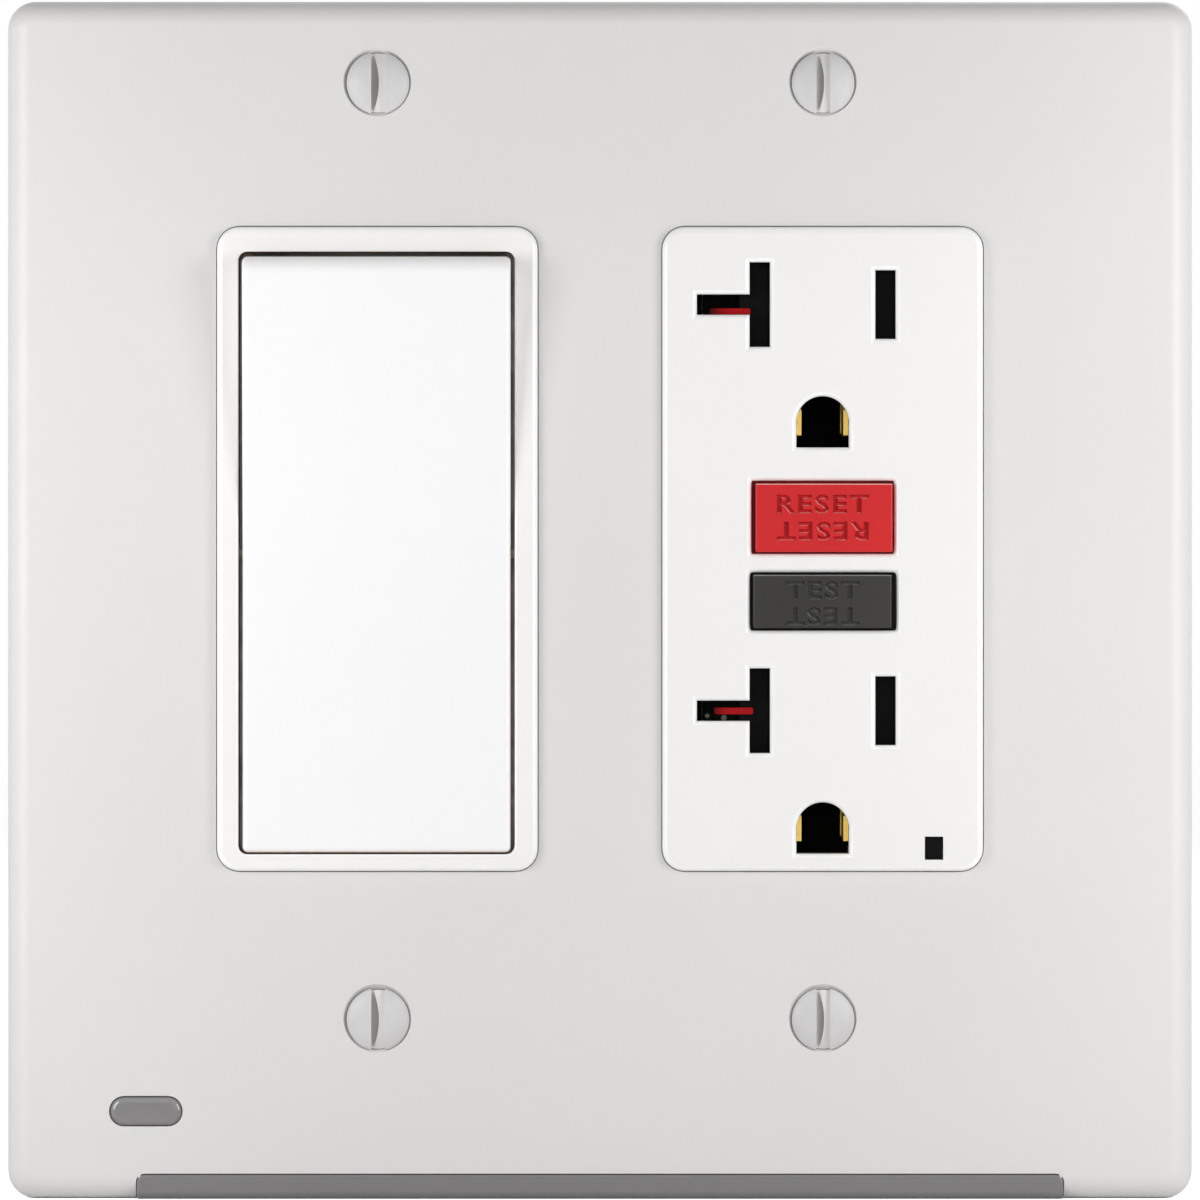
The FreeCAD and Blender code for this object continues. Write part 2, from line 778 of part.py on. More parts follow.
def wall_plate():
    """The moulded plate: a shell with two device openings, screw bosses and a foot for the light."""
    half = s.plate_width / 2
    plate = Piece("wall_plate")
    plate.add("blank", FACE, 0, s.plate_depth, rounded(-half, half, PLATE_LOW, s.plate_top, s.plate_corner))
    plate.fillet("front_round", s.plate_round, at_depth(s.plate_depth))
    side = s.plate_side_wall
    plate.cut(
        "hollow", FACE, 0, PLATE_BACK,
        rounded(side - half, half - side, PLATE_LOW + side, s.plate_top - side, s.plate_corner - side / 2),
    )
    rib_width = OPENING_WIDTH + 2 * s.plate_rib
    rib_height = OPENING_HEIGHT + 2 * s.plate_rib
    rib_corner = s.device_corner + s.device_gap + s.plate_rib
    rims = [middle_rounded(rib_width, rib_height, rib_corner, x) for x in GANGS]
    plate.add("rims", FACE, STRAP_FRONT + s.strap_room, PLATE_BACK, *rims)
    edge = half - side / 2
    ribs = [
        rectangle(-edge, edge, z - s.plate_rib / 2, z + s.plate_rib / 2)
        for z in (as_size(0), s.device_height / 3)
    ]
    plate.add("cross_ribs", FACE, STRAP_FRONT + s.strap_room, PLATE_BACK, *ribs)
    openings = [
        middle_rounded(OPENING_WIDTH, OPENING_HEIGHT, s.device_corner + s.device_gap, x) for x in GANGS
    ]
    plate.cut("openings", FACE, 0, s.plate_depth + BEYOND, *openings)
    bosses = [circle(x, z, s.boss_radius) for x in GANGS for z in (-s.screw_row, s.screw_row)]
    plate.add("bosses", FACE, STRAP_FRONT + s.strap_room, PLATE_BACK, *bosses)
    posts = [circle(x, -s.cover_screw_down, s.cover_screw_head) for x in COVER_SCREWS]
    plate.add("posts", FACE, BOARD_FRONT, PLATE_BACK, *posts)
    screw_holes = plate.draw(
        "screw_holes", FACE, s.plate_depth,
        [circle(x, z, s.screw_shank + s.screw_room) for x in GANGS for z in (-s.screw_row, s.screw_row)],
    )
    doc.recompute()
    holes = plate.body.newObject("PartDesign::Hole", "screw_holes")
    holes.Profile = screw_holes
    doc.recompute()
    holes.DepthType = "ThroughAll"
    holes.HoleCutType = "Countersink"
    holes.setExpression("Diameter", (2 * (s.screw_shank + s.screw_room)).text)
    holes.setExpression("HoleCutDiameter", (2 * s.screw_head).text)
    holes.setExpression("HoleCutCountersinkAngle", s.screw_cone.text)
    pilots = [circle(x, -s.cover_screw_down, s.cover_screw_radius) for x in COVER_SCREWS]
    plate.cut("pilots", FACE, BOARD_FRONT, PLATE_BACK, *pilots)
    bar_half = s.bar_width / 2 + s.bar_room
    plate.cut("light_bar_slot", SIDE, -bar_half, bar_half, light_bar_profile(s.bar_room))
    end = (s.sensor_width - s.sensor_height) / 2
    plate.cut(
        "sensor_hole", FACE, 0, s.plate_depth + BEYOND,
        obround(-s.sensor_across - end, -s.sensor_across + end, -s.sensor_down,
                s.sensor_height / 2 + s.bar_room),
    )
    return plate.body


def plate_screws():
    """Four oval-head screws with upright slots."""
    front = s.plate_depth
    dome = (s.screw_head * s.screw_head + s.screw_dome * s.screw_dome) / (2 * s.screw_dome)
    neck = (s.screw_head - s.screw_shank) / tangent(s.screw_cone / 2)
    screws = []
    for row, z in (("upper", s.screw_row), ("lower", -s.screw_row)):
        for gang, x in (("left", LEFT_GANG), ("right", RIGHT_GANG)):
            screw = Piece(f"{row}_{gang}_plate_screw", x, z)
            screw.turn(
                "turned", LEVEL,
                outline(
                    (0, -(front + s.screw_dome), dome),
                    (s.screw_head, -front),
                    (s.screw_shank, neck - front),
                    (s.screw_shank, s.screw_length - front - s.screw_shank / 2),
                    (s.screw_shank / 2, s.screw_length - front),
                    (0, s.screw_length - front),
                ),
            )
            screw.cut(
                "slot", FACE, front + s.screw_dome - s.screw_slot_deep, front + s.screw_dome + BEYOND,
                middle_rectangle(s.screw_slot, 3 * s.screw_head),
            )
            screws.append(screw.body)
    return group("plate_screws", *screws)


def strap(label, gang):
    """A device's steel mounting strap: shoulders, necks, plaster ears and a window."""
    half = s.strap_width / 2
    neck = s.strap_neck / 2
    shoulder = s.strap_shoulder
    tip = s.strap_length / 2
    ear = tip - s.strap_ear
    clip = s.strap_clip
    quarter = [
        (half, shoulder), (neck, shoulder), (neck, ear),
        (half, ear), (half, tip - clip), (half - clip, tip),
    ]
    corners = [(x, z) for x, z in quarter]
    corners += [(-x, z) for x, z in reversed(quarter)]
    corners += [(-x, -z) for x, z in quarter]
    corners += [(x, -z) for x, z in reversed(quarter)]
    metal = Piece(label, gang)
    metal.add("blank", FACE, 0, s.strap_thick, outline(*corners))
    metal.cut(
        "window", FACE, -BEYOND, s.strap_thick + BEYOND,
        middle_rectangle(s.strap_window_width, s.strap_window_height),
    )
    end = s.box_slot / 2 - s.box_slot_radius
    slots = [obround(-end, end, z, s.box_slot_radius) for z in (-s.box_row, s.box_row)]
    taps = [circle(0, z, s.screw_shank + s.pivot_room) for z in (-s.screw_row, s.screw_row)]
    ground = circle(-s.ground_across, -s.ground_down, s.ground_shank + s.pivot_room)
    posts = [circle(x, z, s.post_bore + s.pivot_room) for x in (-s.post_across, s.post_across)
             for z in (-s.post_up, s.post_up)]
    metal.cut("holes", FACE, -BEYOND, s.strap_thick + BEYOND, *slots, *taps, ground, *posts)
    scores = [
        rectangle((neck - s.score_wide) * x, neck * x, (ear - BEYOND) * z, (tip + BEYOND) * z)
        for x in (-1, 1) for z in (-1, 1)
    ]
    metal.cut("ear_scores", FACE, s.strap_thick - s.score_deep, s.strap_thick + BEYOND, *scores)
    return metal.body


def ground_screw(label, gang):
    """The green terminal screw on a strap, with its head behind the strap."""
    across = gang - s.ground_across
    up = -s.ground_down
    head = rod(f"{label}_head", "in", across, 0, up, s.ground_head, s.ground_head_thick)
    shank = rod(f"{label}_shank", "out", across, 0, up, s.ground_shank, s.strap_thick + s.strap_room)
    groove = block(
        f"{label}_groove", across - s.ground_head, across + s.ground_head,
        -s.ground_head_thick, -s.ground_head_thick / 2, up - s.screw_slot / 2, up + s.screw_slot / 2,
    )
    return cut(label, fuse(f"{label}_solid", head, shank), groove)


# The rocker switch

PIVOT_UP = -s.opening_drop
PADDLE_HALF = s.opening_height / 2 - s.paddle_end_gap
PADDLE_WIDTH = s.opening_width - 2 * s.paddle_side_gap
PADDLE_FRONT = s.device_front - s.pivot_depth
PADDLE_LEAN = tangent(s.throw / 2)


def switch_bezel():
    """The frame round the rocker, with a pivot socket in each side."""
    bezel = Piece("switch_bezel", LEFT_GANG)
    bezel.add(
        "blank", FACE, STRAP_FRONT, s.device_front,
        middle_rounded(s.device_width, s.device_height, s.device_corner),
    )
    bezel.cut(
        "opening", FACE, 0, s.device_front + BEYOND,
        middle_rounded(s.opening_width, s.opening_height, s.opening_corner, 0, PIVOT_UP),
    )
    reach = s.opening_width / 2 + s.pivot_length - s.paddle_side_gap + s.pivot_room
    bezel.cut(
        "pivot_sockets", SIDE, -reach, reach,
        circle(-s.pivot_depth, PIVOT_UP, s.pivot_radius + s.pivot_room),
    )
    bezel.fillet("outer_round", s.device_round, outer(s.device_front, s.device_width - 2 * s.device_corner))
    bores = [
        circle(s.post_across * x, s.post_up * z, s.post_bore + s.pivot_room)
        for x in (-1, 1) for z in (-1, 1)
    ]
    bezel.cut("rivet_bores", FACE, 0, STRAP_FRONT + s.post_deep, *bores)
    return bezel.body


def rocker_paddle():
    """The rocker: a hollow shell whose two halves lean back from a faint fold, on two pivot pins."""
    paddle = Piece("rocker_paddle", LEFT_GANG, PIVOT_UP)
    paddle.body.setExpression("Placement.Base.y", (-s.pivot_depth).text)
    paddle.body.Placement.Rotation = FreeCAD.Rotation(FreeCAD.Vector(1, 0, 0), 1)
    paddle.body.setExpression("Placement.Rotation.Angle", (s.throw / 2).text)
    half = PADDLE_WIDTH / 2
    rise = PADDLE_FRONT + PADDLE_HALF * PADDLE_LEAN
    middle = 2 * s.plunger_tube
    paddle.add(
        "shell", SIDE, -half, half,
        outline(
            (-PADDLE_FRONT, 0), (-rise, -PADDLE_HALF), (s.skirt_back, -PADDLE_HALF),
            (s.skirt_middle, -middle), (s.skirt_middle, middle),
            (s.skirt_back, PADDLE_HALF), (-rise, PADDLE_HALF),
        ),
    )
    end = both(along("x"), lambda e: near(e.BoundBox.YMin, -rise))
    paddle.fillet("end_rounds", s.paddle_end_round, end)
    inside = half - s.paddle_side_wall
    end_wall = PADDLE_HALF - s.paddle_end_round
    floor = PADDLE_FRONT - s.paddle_wall
    paddle.cut(
        "hollow", SIDE, -inside, inside,
        outline(
            (-floor, 0), (-(floor + end_wall * PADDLE_LEAN), -end_wall),
            (s.skirt_middle + BEYOND, -end_wall), (s.skirt_middle + BEYOND, end_wall),
            (-(floor + end_wall * PADDLE_LEAN), end_wall),
        ),
    )
    paddle.add("pins", SIDE, -half - s.pivot_length, half + s.pivot_length, circle(0, 0, s.pivot_radius))
    paddle.cut(
        "pin_gap", SIDE, -inside, inside,
        rectangle(-floor, s.skirt_middle + BEYOND, -middle, middle),
    )
    paddle.add(
        "plunger_tube", FACE, -s.plunger_reach + PADDLE_FRONT - s.paddle_wall, floor + s.paddle_wall / 2,
        circle(0, 0, s.plunger_tube),
    )
    paddle.cut(
        "plunger_bore", FACE, -s.plunger_reach + PADDLE_FRONT - s.paddle_wall - BEYOND, floor,
        circle(0, 0, s.plunger_bore),
    )
    return paddle.body


def contact_lever():
    """The rocking contact under the rocker's spring, its half-round rib in the line contact's seat."""
    lever = Piece("contact_lever", LEFT_GANG, PIVOT_UP)
    lever.body.setExpression("Placement.Base.y", s.lever_depth.text)
    lever.body.Placement.Rotation = FreeCAD.Rotation(FreeCAD.Vector(1, 0, 0), -1)
    lever.body.setExpression("Placement.Rotation.Angle", (-s.throw * s.lever_gear / 2).text)
    lever.add("bar", FACE, 0, s.lever_thick, middle_rounded(s.lever_width, s.lever_length, s.lever_thick))
    lever.add("nub", FACE, s.lever_thick, 2 * s.lever_thick, circle(0, 0, s.lever_nub))
    lever.add("rib", SIDE, -s.lever_width / 2, s.lever_width / 2, circle(0, 0, s.lever_pivot))
    lever.add(
        "contact", FACE, -s.contact_thick, 0,
        circle(0, s.contact_inset + s.contact_radius - s.lever_length / 2, s.contact_radius),
    )
    return lever.body


def rocker_spring():
    """The spring between the rocker's plunger tube and the contact lever."""
    start = PADDLE_FRONT - s.paddle_wall + s.pivot_depth - s.spring_wire
    end = s.lever_thick - s.lever_depth + s.spring_wire
    return coil("rocker_spring", "in", LEFT_GANG, start, PIVOT_UP, s.rocker_spring_radius, start - end, 6)


def switch_housing():
    """The switch's rear body: a flange against the strap, a deep cup and two terminal recesses."""
    deep = -s.switch_body_deep
    wall = s.housing_wall
    half = s.switch_body_width / 2
    recess = half - wall + s.terminal_plate
    housing = Piece("switch_housing", LEFT_GANG)
    housing.add(
        "cup", FACE, deep, 0,
        middle_rounded(s.switch_body_width, s.switch_body_height, s.housing_round),
    )
    housing.fillet("back_round", s.back_round, at_depth(deep))
    housing.add(
        "flange", FACE, -s.switch_flange, 0,
        middle_rounded(s.strap_width, s.switch_flange_height, s.housing_round),
    )
    housing.cut(
        "hollow", FACE, deep + wall, BEYOND,
        middle_rounded(s.switch_body_width - 2 * wall, s.switch_body_height - 2 * wall, s.housing_round),
    )
    tall = s.terminal_plate_tall / 2 + s.terminal_room
    recesses = [
        rectangle(s.switch_flange + s.strap_thick, -(deep + wall), z - tall, z + tall)
        for z in (s.switch_terminal_up, -s.switch_terminal_up)
    ]
    housing.cut("terminal_recesses", SIDE, recess, half + BEYOND, *recesses)
    tab = s.strip_width + s.terminal_room
    tabs = [
        rectangle(-(deep + wall) - s.terminal_plate - s.terminal_room, -(deep + wall), z - tab, z + tab)
        for z in (s.switch_terminal_up, -s.switch_terminal_up)
    ]
    housing.cut("tab_slots", SIDE, 0, half, *tabs)
    shanks = [circle(s.switch_terminal_deep, z, s.terminal_shank + s.terminal_room)
              for z in (s.switch_terminal_up, -s.switch_terminal_up)]
    housing.cut("shank_holes", SIDE, 0, half, *shanks)
    rivets = [circle(x, z, s.post_bore + s.pivot_room) for x in (-s.post_across, s.post_across)
              for z in (-s.post_up, s.post_up)]
    housing.cut("rivet_holes", FACE, -s.switch_flange - BEYOND, BEYOND, *rivets)
    wires = [
        circle(recess - s.housing_wall - s.wire_hole, z, s.wire_hole)
        for z in (s.switch_terminal_up + s.terminal_head, -s.switch_terminal_up - s.terminal_head)
    ]
    housing.cut("wire_holes", FACE, deep - BEYOND, deep + wall + BEYOND, *wires)
    housing.cut(
        "back_panel", FACE, deep - BEYOND, deep + s.back_panel_deep,
        middle_rectangle(s.back_panel_width, s.back_panel_height),
    )
    inner_end = recess - s.housing_wall - 3 * s.wire_hole
    releases = [
        rectangle(inner_end - 2 * s.wire_hole, inner_end, z - s.release_slot, z + s.release_slot)
        for z in (s.switch_terminal_up + s.terminal_head, -s.switch_terminal_up - s.terminal_head)
    ]
    housing.cut("release_slots", FACE, deep - BEYOND, deep + s.release_slot_deep, *releases)
    return housing.body


def switch_contact(label, side):
    """A terminal plate, the strip along the housing's floor, and the post at its end."""
    floor = s.switch_body_deep - s.housing_wall
    outside = s.switch_body_width / 2 - s.housing_wall + s.terminal_plate
    up = s.switch_terminal_up * side
    tall = s.terminal_plate_tall / 2
    contact = Piece(label, LEFT_GANG)
    plate = rectangle(s.switch_flange + 2 * s.strap_thick, floor, up - tall, up + tall)
    contact.add("plate", SIDE, outside, outside + s.terminal_plate, plate)
    strip = rectangle(floor - s.terminal_plate, floor, up - s.strip_width, up + s.strip_width)
    contact.add("strip", SIDE, -s.strip_width, outside + s.terminal_plate, strip)
    low = floor - s.terminal_plate
    if side > 0:
        end = PIVOT_UP - s.strip_width
        seat = s.lever_depth + s.lever_pivot + s.pivot_room
        rim = s.lever_depth + s.strip_width * tangent(s.throw * s.lever_gear / 2) + s.contact_room
        post = outline(
            (low, end), (rim, end), (seat, PIVOT_UP),
            (rim, PIVOT_UP + s.strip_width), (low, PIVOT_UP + s.strip_width),
        )
    else:
        end = PIVOT_UP + s.contact_inset + 2 * s.contact_radius - s.lever_length / 2
        swing = (s.lever_length / 2) * tangent(s.throw * s.lever_gear / 2)
        top = s.lever_depth + swing + s.contact_thick + s.contact_room
        post = rectangle(top, low, end - 2 * s.contact_radius, end)
    run = rectangle(low, floor, up, end)
    contact.add("run", SIDE, -s.strip_width, s.strip_width, run)
    contact.add("post", SIDE, -s.strip_width, s.strip_width, post)
    tap = circle(s.switch_terminal_deep, up, s.terminal_shank + s.pivot_room)
    contact.cut("tap", SIDE, outside - BEYOND, outside + s.terminal_plate + BEYOND, tap)
    return contact.body


def terminal_screw(label, side, gang, start, depth, up):
    """A binding screw that enters a device's side, with a slotted head."""
    way = "right" if side > 0 else "left"
    back = "left" if side > 0 else "right"
    across = gang + start * side
    head = rod(f"{label}_head", way, across, depth, up, s.terminal_head, s.terminal_head_thick)
    shank = rod(f"{label}_shank", back, across, depth, up, s.terminal_shank, s.shank_length)
    tip = across + s.terminal_head_thick * side
    root = across + s.terminal_head_thick / 2 * side
    slot = block(
        f"{label}_slot", *((root, tip) if side > 0 else (tip, root)),
        depth - s.screw_slot / 2, depth + s.screw_slot / 2, up - s.terminal_head, up + s.terminal_head,
    )
    return cut(label, fuse(f"{label}_solid", head, shank), slot)


def switch_terminal_screws():
    """The switch's two brass terminal screws."""
    start = s.switch_body_width / 2 - s.housing_wall + 2 * s.terminal_plate + s.terminal_room
    screws = [
        terminal_screw(f"switch_{name}_screw", 1, LEFT_GANG, start, -s.switch_terminal_deep, up)
        for name, up in (("line", s.switch_terminal_up), ("load", -s.switch_terminal_up))
    ]
    return group("switch_terminal_screws", *screws)


def corner_fasteners(label, gang, back):
    """Four fasteners that hold a device's rear body, strap and front together."""
    pins = []
    for k, (x, z) in enumerate(((1, 1), (-1, 1), (-1, -1), (1, -1))):
        across = gang + s.post_across * x
        up = s.post_up * z
        head = rod(f"{label}_head_{k}", "in", across, -back, up, s.post_head, s.post_head_thick)
        length = back + STRAP_FRONT + s.post_deep - s.contact_room
        shank = rod(f"{label}_shank_{k}", "out", across, -back, up, s.post_bore, length)
        pins.append(fuse(f"{label}_{k}", head, shank))
    return group(label, *pins)


# The receptacle

def ground_outline(up, room=0):
    """The ground hole: a half round with a flat foot."""
    r = s.ground_hole + room
    foot = up + s.ground_hole - s.ground_hole_tall - room
    return outline((r, foot), (r, up, r), (0, up + r, r), (-r, up), (-r, foot))


def neutral_outline(up, room=0):
    """The neutral slot: a tall leg, and a level leg that runs left from its middle."""
    right = s.slot_wide / 2 - s.slot_across + room
    left = -s.slot_wide / 2 - s.slot_across - room
    tall = s.neutral_tall / 2 + room
    leg = s.slot_wide / 2 + room
    reach = -s.slot_across - s.tee_reach - room
    return outline(
        (right, up - tall), (right, up + tall), (left, up + tall), (left, up + leg),
        (reach, up + leg), (reach, up - leg), (left, up - leg), (left, up - tall),
    )


def ground_place(outlet):
    return outlet - s.ground_below


def receptacle_face():
    """The receptacle's front: slots, ground holes, two button openings and a window."""
    face = Piece("receptacle_face", RIGHT_GANG)
    face.add(
        "blank", FACE, STRAP_FRONT, s.device_front,
        middle_rounded(s.device_width, s.device_height, s.device_corner),
    )
    wall = 2 * s.face_side_wall
    face.cut(
        "hollow", FACE, 0, FACE_BACK,
        middle_rounded(s.device_width - wall, s.device_height - wall, s.device_corner / 2),
    )
    inside = s.post_across - s.post_bore - s.post_wall
    outside = s.device_width / 2 - s.face_side_wall / 2
    tall = s.post_height / 2
    posts = [
        rectangle(inside * x, outside * x, s.post_up * z - tall, s.post_up * z + tall)
        for x in (-1, 1) for z in (-1, 1)
    ]
    face.add("posts", FACE, STRAP_FRONT, FACE_BACK + s.face_wall / 2, *posts)
    face.fillet("outer_round", s.device_round, outer(s.device_front, s.device_width - 2 * s.device_corner))
    for name, up in OUTLETS.items():
        face.cut(f"{name}_neutral", FACE, 0, s.device_front + BEYOND, neutral_outline(up))
        face.cut(
            f"{name}_hot", FACE, 0, s.device_front + BEYOND,
            middle_rectangle(s.slot_wide, s.hot_tall, s.slot_across, up),
        )
        face.cut(f"{name}_ground", FACE, 0, s.device_front + BEYOND, ground_outline(ground_place(up)))
    room = 2 * s.button_room
    buttons = [
        middle_rounded(s.reset_width + room, s.reset_height + room, s.button_corner, 0, s.reset_up),
        middle_rounded(s.test_width + room, s.test_height + room, s.button_corner, 0, -s.test_down),
    ]
    face.cut("button_openings", FACE, 0, s.device_front + BEYOND, *buttons)
    face.chamfer("bevels", s.slot_bevel, inner(s.device_front, s.device_width - 2 * s.device_corner))
    window = middle_rectangle(s.window_width, s.window_height, s.window_across, -s.window_down)
    face.cut("window_hole", FACE, 0, s.device_front + BEYOND, window)
    bores = [
        circle(s.post_across * x, s.post_up * z, s.post_bore + s.pivot_room)
        for x in (-1, 1) for z in (-1, 1)
    ]
    face.cut("post_bores", FACE, 0, STRAP_FRONT + s.post_deep, *bores)
    return face.body


def status_window():
    """The dark light pipe in the face's foot."""
    room = 2 * s.bar_room
    window = Piece("status_window", RIGHT_GANG)
    window.add(
        "pipe", FACE, STRAP_FRONT + s.frame_thick, s.device_front - s.bar_room,
        middle_rectangle(s.window_width - room, s.window_height - room, s.window_across, -s.window_down),
    )
    return window.body


FRAME_FRONT = STRAP_FRONT + s.frame_thick
LEAF_HALF = s.blade / 2 + s.pivot_room + s.leaf
FRAME_SLOT = LEAF_HALF + s.frame_room


def middle_frame():
    """The insulating frame behind the face, with clear ways for blades and pins and a cup for the
    reset spring."""
    frame = Piece("middle_frame", RIGHT_GANG)
    frame.add(
        "plate", FACE, STRAP_FRONT, FRAME_FRONT,
        middle_rectangle(s.frame_width, s.frame_height),
    )
    frame.add("cup", FACE, -s.reset_cup_back, FRAME_FRONT, circle(0, s.reset_up, s.reset_cup))
    frame.cut(
        "cup_bore", FACE, s.spring_wire - s.reset_cup_back + s.frame_room, FRAME_FRONT + BEYOND,
        circle(0, s.reset_up, s.reset_cup_bore),
    )
    frame.cut(
        "pin_hole", FACE, -s.reset_cup_back - BEYOND, 0,
        circle(0, s.reset_up, s.reset_pin + s.bar_room),
    )
    for name, up in OUTLETS.items():
        tall = s.neutral_tall / 2 + s.frame_room
        leg = s.slot_wide / 2 + s.frame_room
        reach = -s.slot_across - s.tee_reach - s.frame_room
        right = FRAME_SLOT - s.slot_across
        left = -FRAME_SLOT - s.slot_across
        tee = outline(
            (right, up - tall), (right, up + tall), (left, up + tall), (left, up + leg),
            (reach, up + leg), (reach, up - leg), (left, up - leg), (left, up - tall),
        )
        frame.cut(f"{name}_neutral", FACE, -BEYOND, FRAME_FRONT + BEYOND, tee)
        hot = middle_rectangle(2 * FRAME_SLOT, 2 * tall, s.slot_across, up)
        frame.cut(f"{name}_hot", FACE, -BEYOND, FRAME_FRONT + BEYOND, hot)
        ground = ground_outline(ground_place(up), s.frame_room)
        frame.cut(f"{name}_ground", FACE, -BEYOND, FRAME_FRONT + BEYOND, ground)
    inside = s.post_across - s.post_bore - s.post_wall - s.frame_room
    low = s.post_up - s.post_height / 2 - s.frame_room
    high = s.frame_height / 2 + BEYOND
    posts = [
        rectangle(inside * x, s.frame_width * x, low * z, high * z)
        for x in (-1, 1) for z in (-1, 1)
    ]
    frame.cut("post_notches", FACE, -BEYOND, FRAME_FRONT + BEYOND, *posts)
    return frame.body


def push_button(label, up, width, height):
    """A button with a flange behind the face that stops it on its way out."""
    front = s.device_front + s.button_proud
    stop = FACE_BACK - s.bar_room
    button = Piece(label, RIGHT_GANG)
    button.add("cap", FACE, stop, front, middle_rounded(width, height, s.button_corner, 0, up))
    button.fillet("cap_round", s.button_round, at_depth(front))
    flange = 2 * s.button_flange
    button.add(
        "flange", FACE, stop - s.button_flange_thick, stop,
        middle_rectangle(width + flange, height + flange / 2, 0, up),
    )
    return button


def reset_button():
    """The reset button with its latch pin."""
    button = push_button("reset_button", s.reset_up, s.reset_width, s.reset_height)
    back = FACE_BACK - s.bar_room - s.button_flange_thick
    button.add("pin", FACE, -s.reset_pin_back, back, circle(0, s.reset_up, s.reset_pin))
    return button.body


def reset_spring():
    """The coil spring round the latch pin, between the button's flange and its cup."""
    start = FACE_BACK - s.bar_room - s.button_flange_thick - s.spring_wire
    end = 2 * s.spring_wire - s.reset_cup_back + s.frame_room
    return coil("reset_spring", "in", RIGHT_GANG, start, s.reset_up, s.reset_spring_radius, start - end, 5)


def test_button():
    """The test button."""
    return push_button("test_button", -s.test_down, s.test_width, s.test_height).body


def test_spring():
    """The bent leaf that pushes the test button out."""
    back = FACE_BACK - s.bar_room - s.button_flange_thick
    leaf = s.test_leaf
    low = FRAME_FRONT
    high = back - leaf
    reach = s.test_width / 2
    spring = Piece("test_spring", RIGHT_GANG)
    spring.add(
        "leaf", LEVEL, -s.test_down - s.strip_width, s.strip_width - s.test_down,
        outline(
            (-reach, -low), (-reach / 2, -low), (0, -high), (reach / 2, -low), (reach, -low),
            (reach, -low - leaf), (reach / 2, -low - leaf), (0, -high - leaf),
            (-reach / 2, -low - leaf), (-reach, -low - leaf),
        ),
    )
    return spring.body


def shutter(outlet, up):
    """A sliding shutter that closes both blade slots until a plug slides it to the right."""
    back = FRAME_FRONT + s.shutter_room
    front = back + s.shutter_thick
    tall = s.shutter_tall / 2
    leg = s.slot_wide / 2 + s.shutter_room
    slide = s.shutter_travel
    neutral = -s.slot_across - slide
    slab = Piece(f"{outlet}_shutter", RIGHT_GANG)
    slab.add(
        "slab", FACE, back, front,
        outline(
            (s.shutter_right, up - tall), (s.shutter_right, up + tall), (-s.shutter_left, up + tall),
            (-s.shutter_left, up + leg), (neutral, up + leg), (neutral, up - leg),
            (-s.shutter_left, up - leg), (-s.shutter_left, up - tall),
        ),
    )
    window_tall = s.neutral_tall + s.shutter_room
    for name, x in (("neutral", neutral), ("hot", s.slot_across - slide)):
        slab.cut(
            f"{name}_window", FACE, back - BEYOND, front + BEYOND,
            middle_rectangle(s.slot_wide + s.shutter_room, window_tall, x, up),
        )
    return slab.body


def shutter_spring(outlet, up):
    """The bent wire leaf between a shutter's right end and the face's side wall."""
    start = s.shutter_right + s.pivot_room
    end = s.device_width / 2 - s.face_side_wall - s.pivot_room
    depth = FRAME_FRONT + s.shutter_room
    tall = s.shutter_tall / 2 - s.slot_wide
    leaf = s.test_leaf
    spring = Piece(f"{outlet}_shutter_spring", RIGHT_GANG)
    spring.add(
        "leaf", FACE, depth, depth + s.shutter_thick / 2,
        outline(
            (start, up - tall), (start + leaf, up - tall), (end, up), (start + leaf, up + tall),
            (start, up + tall), (end - s.shutter_leaf_back, up),
        ),
    )
    return spring.body


TERMINAL_PLATE = s.body_width / 2 - s.terminal_head_thick - 2 * s.terminal_room - s.terminal_plate / 2


def blade_bus(label, side):
    """A blade contact: two pairs of leaves on one strip, with a tab to each terminal plate."""
    back = -s.leaf_back
    low = back - s.bus_thick
    centre = s.slot_across * side
    plate = TERMINAL_PLATE
    bus = Piece(label, RIGHT_GANG)
    foot = -s.terminal_up - s.strip_width
    top = s.upper_outlet + s.leaf_tall / 2
    bus.add("strip", FACE, low, back, rectangle(centre - LEAF_HALF, centre + LEAF_HALF, foot, top))
    leaves = [
        rectangle(
            centre + (LEAF_HALF - s.leaf) * hand, centre + LEAF_HALF * hand,
            up - s.leaf_tall / 2, up + s.leaf_tall / 2,
        )
        for up in OUTLETS.values() for hand in (-1, 1)
    ]
    bus.add("leaves", FACE, back, s.leaf_top, *leaves)
    ends = (s.terminal_up, -s.terminal_up)
    tabs = [rectangle(centre, plate * side, up - s.strip_width, up + s.strip_width) for up in ends]
    bus.add("tabs", FACE, low, back, *tabs)
    tall = s.terminal_plate_tall / 2
    deep = s.terminal_deep + s.terminal_head + s.terminal_plate
    plates = [rectangle(s.leaf_back, deep, up - tall, up + tall) for up in ends]
    inside = plate * side
    outside = (plate + s.terminal_plate) * side
    taps = [circle(s.terminal_deep, up, s.terminal_shank + s.pivot_room) for up in ends]
    first, last = (inside, outside) if side > 0 else (outside, inside)
    bus.add("plates", SIDE, first, last, *plates)
    bus.cut("taps", SIDE, first - BEYOND / 2, last + BEYOND / 2, *taps)
    return bus.body


